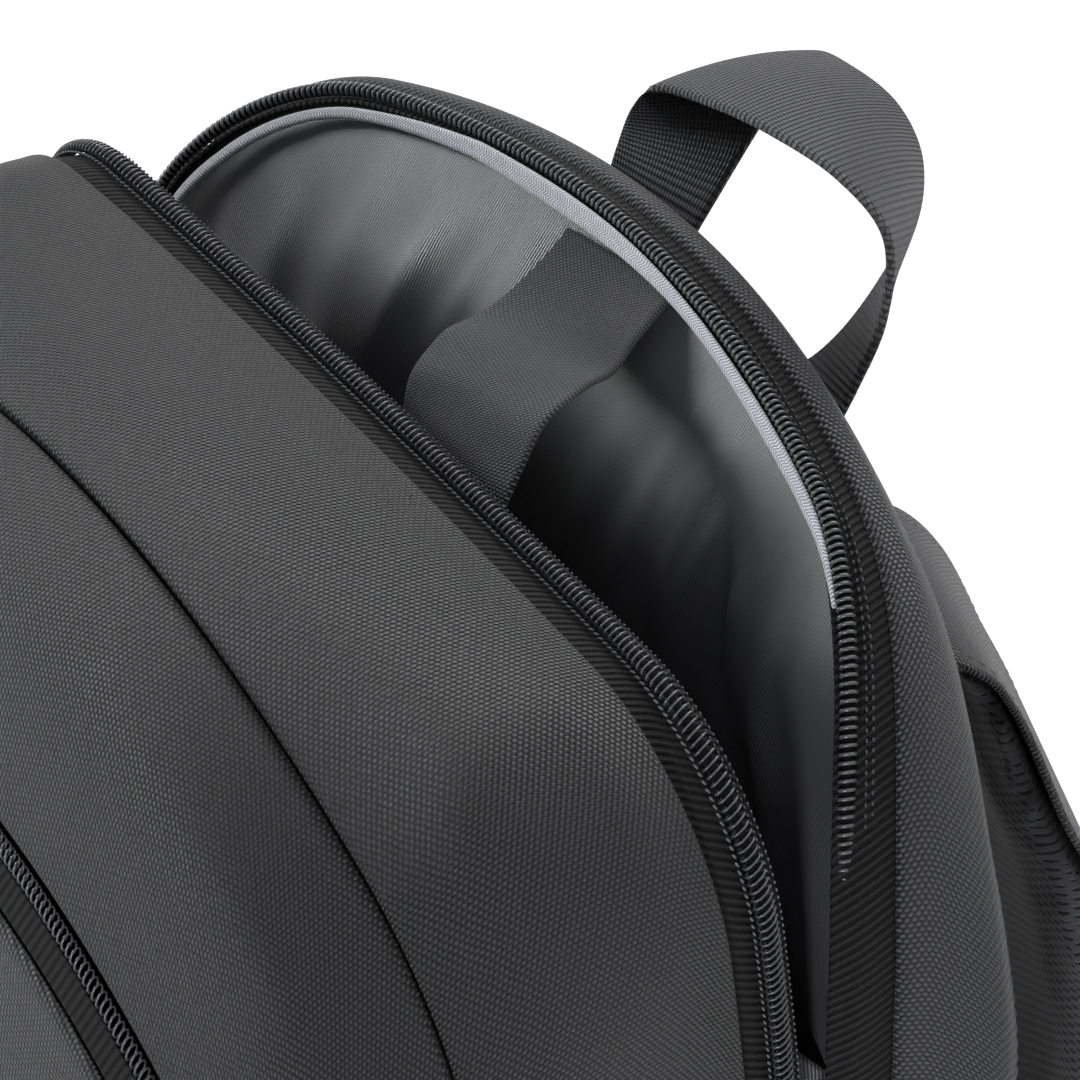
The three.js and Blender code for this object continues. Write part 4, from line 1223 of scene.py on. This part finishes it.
strapLook = {
    "face": 1.8, "gap": 0.6, "seam": 4.0, "voxel": 3.2, "pressure": 4.0, "frames": 20, "cap": 2.2,
    "rows": [  # x, y, z of the woven face's middle, width, turn, tilt, padding
        (78, 69.8, 392.6, 46, 0.12, 0.2, 2), (77.6, 79, 389.4, 50, 0.16, 0.16, 3.2),
        (76.8, 87.8, 382.4, 57, 0.23, 0.1, 4.6), (76.4, 96.2, 370, 65, 0.3, 0.04, 6.4),
        (75.6, 106, 350, 71, 0.34, 0, 8.8), (75.6, 119.4, 322, 74, 0.32, 0, 11.6),
        (77.4, 128.6, 284, 74, 0.26, 0, 13.4), (81.4, 131, 242, 69, 0.18, 0, 14),
        (86.2, 124.5, 202, 59, 0.1, 0, 13), (89.5, 113, 168, 47, 0.04, 0, 11), (92, 101, 142, 36, 0, 0, 10),
    ],
    "padInset": 1.6, "padSlack": 0.3, "padSides": 28,
    "padCurve": (0.45, 0.7),  # how square the padding's section is, across and through
    "locks": [  # down the strap and out of it, where the webbing runs through the adjuster
        (-11.4, -3.1), (-5.7, 0), (0, 3.2), (5.7, 0), (11.4, -3.2), (18, -3.4),
    ],
    "lockHigh": 26.0, "lockGap": 0.5, "sunk": 0.12,
    "webbing": [(97, 76.5, 98), (103, 68.5, 76), (109, 60, 52), (113, 57.0, 36), (115, 55.0, 28)],
    "webWide": 24.5, "webThick": 1.2,
}


def strapFrame(middle, turn, tilt):
    ahead = unit(np.gradient(middle, axis=0))
    wanted = np.stack([np.ones(len(middle)), -turn, -tilt], axis=1)
    side = unit(wanted - ahead * np.sum(wanted * ahead, axis=1, keepdims=True))
    out = np.cross(side, ahead)
    return side, out * np.where(out[:, 1:2] < 0, -1.0, 1.0)


def makeStrap(end, sign, look):
    rows = np.array(look["rows"], float) * np.array([sign, 1, 1, 1, sign, sign, 1])
    path = smoothPath(rows, 1.6)
    middle, wide, padding = path[:, :3], path[:, 3:4], path[:, 6]
    side, out = strapFrame(middle, path[:, 4], path[:, 5])
    side = side * sign
    a, b = stripAlong(middle, side, wide)
    face = ribbon("shoulderStrap" + end, a, b, look["face"], "woven", across=22)
    settle(face, "woven_nylon", "shoulder_strap_" + end.lower())

    depth = look["face"] / 2 + look["gap"] + padding / 2
    core = middle - out * depth[:, None]
    angles = np.linspace(0, 2 * math.pi, look["padSides"], endpoint=False)
    acrossPower, throughPower = look["padCurve"]
    rings = []
    for p, s, o, w, d in zip(core[::2], side[::2], out[::2], wide[::2, 0], padding[::2]):
        halfWide, halfDeep = w / 2 - look["padInset"], d / 2 - look["padSlack"]
        x = np.sign(np.cos(angles)) * np.abs(np.cos(angles)) ** acrossPower * halfWide
        y = np.sign(np.sin(angles)) * np.abs(np.sin(angles)) ** throughPower * halfDeep
        rings.append(p + s * x[:, None] + o * y[:, None])
    rings = np.array(rings)
    faces = tubeFaces(*rings.shape[:2])
    pad = newPiece("shoulderPad" + end, rings.reshape(-1, 3), faces, None, "airMesh")

    def awayFromFace(at, move):
        nearest = np.argmin(((at[:, None, :] - middle[None, ::6, :]) ** 2).sum(axis=2), axis=1)
        return np.where(np.sum(move * out[::6][nearest], axis=1) < 0, 1.0, 0.2)

    puffUp(pad, look, awayFromFace)
    settle(pad, "air_mesh", "shoulder_pad_" + end.lower())

    down = unit(middle[-1] - middle[-6])
    plate = unit(np.array([1.0, 0, 0]) - down * down[0])
    lift = np.cross(plate, down)
    lift = lift if lift[1] > 0 else -lift
    hub = middle[-1] + down * (look["lockHigh"] / 2 + look["lockGap"]) - lift * depth[-1]
    weave = [hub + down * d + lift * o for d, o in look["locks"]]
    weave += [np.array([x * sign, y, z]) for x, y, z in look["webbing"]]
    run = smoothPath(np.array(weave), 1.0)
    a, b = stripAlong(run, np.tile(plate, (len(run), 1)), look["webWide"])
    piece = ribbon("strapWebbing" + end, a, b, look["webThick"], "webbing", across=12)
    settle(piece, "webbing", "strap_webbing_" + end.lower())

    proud = out * (look["face"] / 2 - look["sunk"])
    return [(middle + side * (wide / 2 - look["seam"]) * k + proud, out) for k in (-1, 1)]


strapSeams = makeStrap("Left", -1.0, strapLook) + makeStrap("Right", 1.0, strapLook)
print("padded back and straps made")


# Base tray with a turned rim over the walls' foot

baseLook = {
    "back": [45, 40, 34, 26, 18, 12, 9.6, 6, 3],  # distances from the rear zip's rims
    "front": [3, 9.5, 16, 24, 36, 48, 58, 67, 80, 95, 112, 130, 142],
    "rings": [  # how far in from the foot, height
        (60, 0.0), (14, 0.0), (11, 0.15), (8.4, 1.0), (6, 2.6), (4.2, 4.6), (2.4, 7.6), (1.2, 11.5),
        (0.2, 17.0), (-0.7, 21.0), (-1.1, 23.4), (-1.0, 24.4), (-0.5, 24.8), (-0.1, 24.2), (0.2, 22.2),
        (1.8, 21.4), (2.6, 17.0), (3.6, 12.0), (7.6, 5.4), (14, 2.5), (60, 2.5),
    ],
    "step": 4.0,
    "seam": (0.9, 21.6),  # how far out from the foot, height
}


def makeBase(look):
    right = []
    for half, places in (("back", look["back"]), ("front", look["front"])):
        for at in places:
            line = lineOf(half, at)
            right.append((line[2], rim(foot, half) + line[1]))
    right = np.array(right)
    left = right[::-1] * np.array([-1.0, 1.0])
    corners = np.concatenate([right, left, right[:1]])
    run = lengths(corners)
    count = int(run[-1] / look["step"])
    wanted = np.linspace(0.0, run[-1], count, endpoint=False)
    loop = np.stack([np.interp(wanted, run, corners[:, k]) for k in range(2)], axis=1)
    for _ in range(2):  # eases the corners
        loop = (np.roll(loop, 1, 0) + 2 * loop + np.roll(loop, -1, 0)) / 4
    middle = np.array([0.0, (loop[:, 1].min() + loop[:, 1].max()) / 2])
    reach = np.linalg.norm(loop - middle, axis=1)
    rings, uvRings, height = [], [], 0.0
    for k, (inward, z) in enumerate(look["rings"]):
        flat = middle + (loop - middle) * (1 - inward / reach)[:, None]
        rings.append(np.column_stack([flat, np.full(count, z)]))
        if k:
            height += np.linalg.norm(np.subtract(look["rings"][k], look["rings"][k - 1]))
        uvRings.append(np.column_stack([wanted, np.full(count, height)]))
    inmost, floorTop = look["rings"][-1]
    points = np.concatenate([*rings, [[*middle, 0.0], [*middle, floorTop]]])
    faces = []
    for j in range(count):
        k = (j + 1) % count
        for i in range(len(rings) - 1):
            faces.append((i * count + j, i * count + k, (i + 1) * count + k, (i + 1) * count + j))
        tail = (len(rings) - 1) * count
        faces.append((len(points) - 2, k, j))
        faces.append((len(points) - 1, tail + j, tail + k))
    uv = np.concatenate([*uvRings, [[0.0, -inmost], [0.0, height + inmost]]])
    piece = newPiece("basePanel", points, faces, uv, "base")
    settle(piece, "base_cloth", "base_panel")
    rimUp = np.column_stack([unit(loop - middle), np.zeros(count)])
    outward, high = look["seam"]
    seam = np.column_stack([middle + (loop - middle) * (1 + outward / reach)[:, None], np.full(count, high)])
    return [(np.concatenate([seam, seam[:1]]), np.concatenate([rimUp, rimUp[:1]]))]


baseSeam = makeBase(baseLook)
print("base made")


# Adjusters and sliders

def eased(name, node, bevel, material, slot):  # a CAD piece with its edges rounded
    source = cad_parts[node]
    piece = bpy.data.objects.new(name, source.data.copy())
    scene.collection.objects.link(piece)
    piece.data.materials.clear()
    piece.data.materials.append(materials[material])
    weld = piece.modifiers.new("weld", "WELD")
    weld.merge_threshold = 0.01 * mm
    rounding = piece.modifiers.new("round", "BEVEL")
    rounding.width = bevel * mm
    rounding.segments = 3
    rounding.limit_method = "ANGLE"
    rounding.angle_limit = math.radians(35)
    freeze(piece)
    shadeSmooth(piece.data)
    return settle(piece, slot, node)


edgeRound = 0.7  # mm
for end in ("left", "right"):
    eased("ladderLock" + end.title(), "ladder_lock_" + end, edgeRound, "buckle", "buckle_plastic")
    eased("rearZipSlider" + end.title(), "rear_zip_slider_" + end, edgeRound, "slider", "slider_metal")
eased("frontZipSlider", "front_zip_slider", edgeRound, "slider", "slider_metal")


# Stitches

def seamRows(half, places, lift):
    return [skinPath(half, at, lift, 1.5) for at in places]


stitchKinds = {  # pitch, length, width, height and tilt
    "chain": (1.65, 1.35, 0.5, 0.5, 24.0),
    "rim": (1.6, 0.7, 0.4, 0.4, 0.0),
    "tape": (2.0, 1.0, 0.55, 0.4, 0.0),
    "seam": (3.2, 2.5, 0.7, 0.5, 6.0),
}
stitching = [  # name, rows, kind, thread, slot
    ("coilStitchesFront", seamRows("front", [2.95], -0.5), "chain", "paleThread", "zip_tape"),
    ("rimStitches", seamRows("front", [-3.1, -4.2], -0.45), "rim", "paleThread", "zip_tape"),
    ("coilStitchesBack", seamRows("back", [3.6, 5.0], -0.55), "tape", "thread", "zip_tape"),
    ("bandStitches", seamRows("back", [seams["backEdge"] - 3.0], 0.15), "seam", "thread", "woven_nylon"),
    ("strapStitches", strapSeams, "seam", "thread", "woven_nylon"),
    ("baseStitches", baseSeam, "seam", "thread", "base_cloth"),
]
for name, rows, kind, thread, slot in stitching:
    settle(alongPaths(name, "stitch", rows, stitchSizes(*stitchKinds[kind]), thread), slot)
print("stitches made")
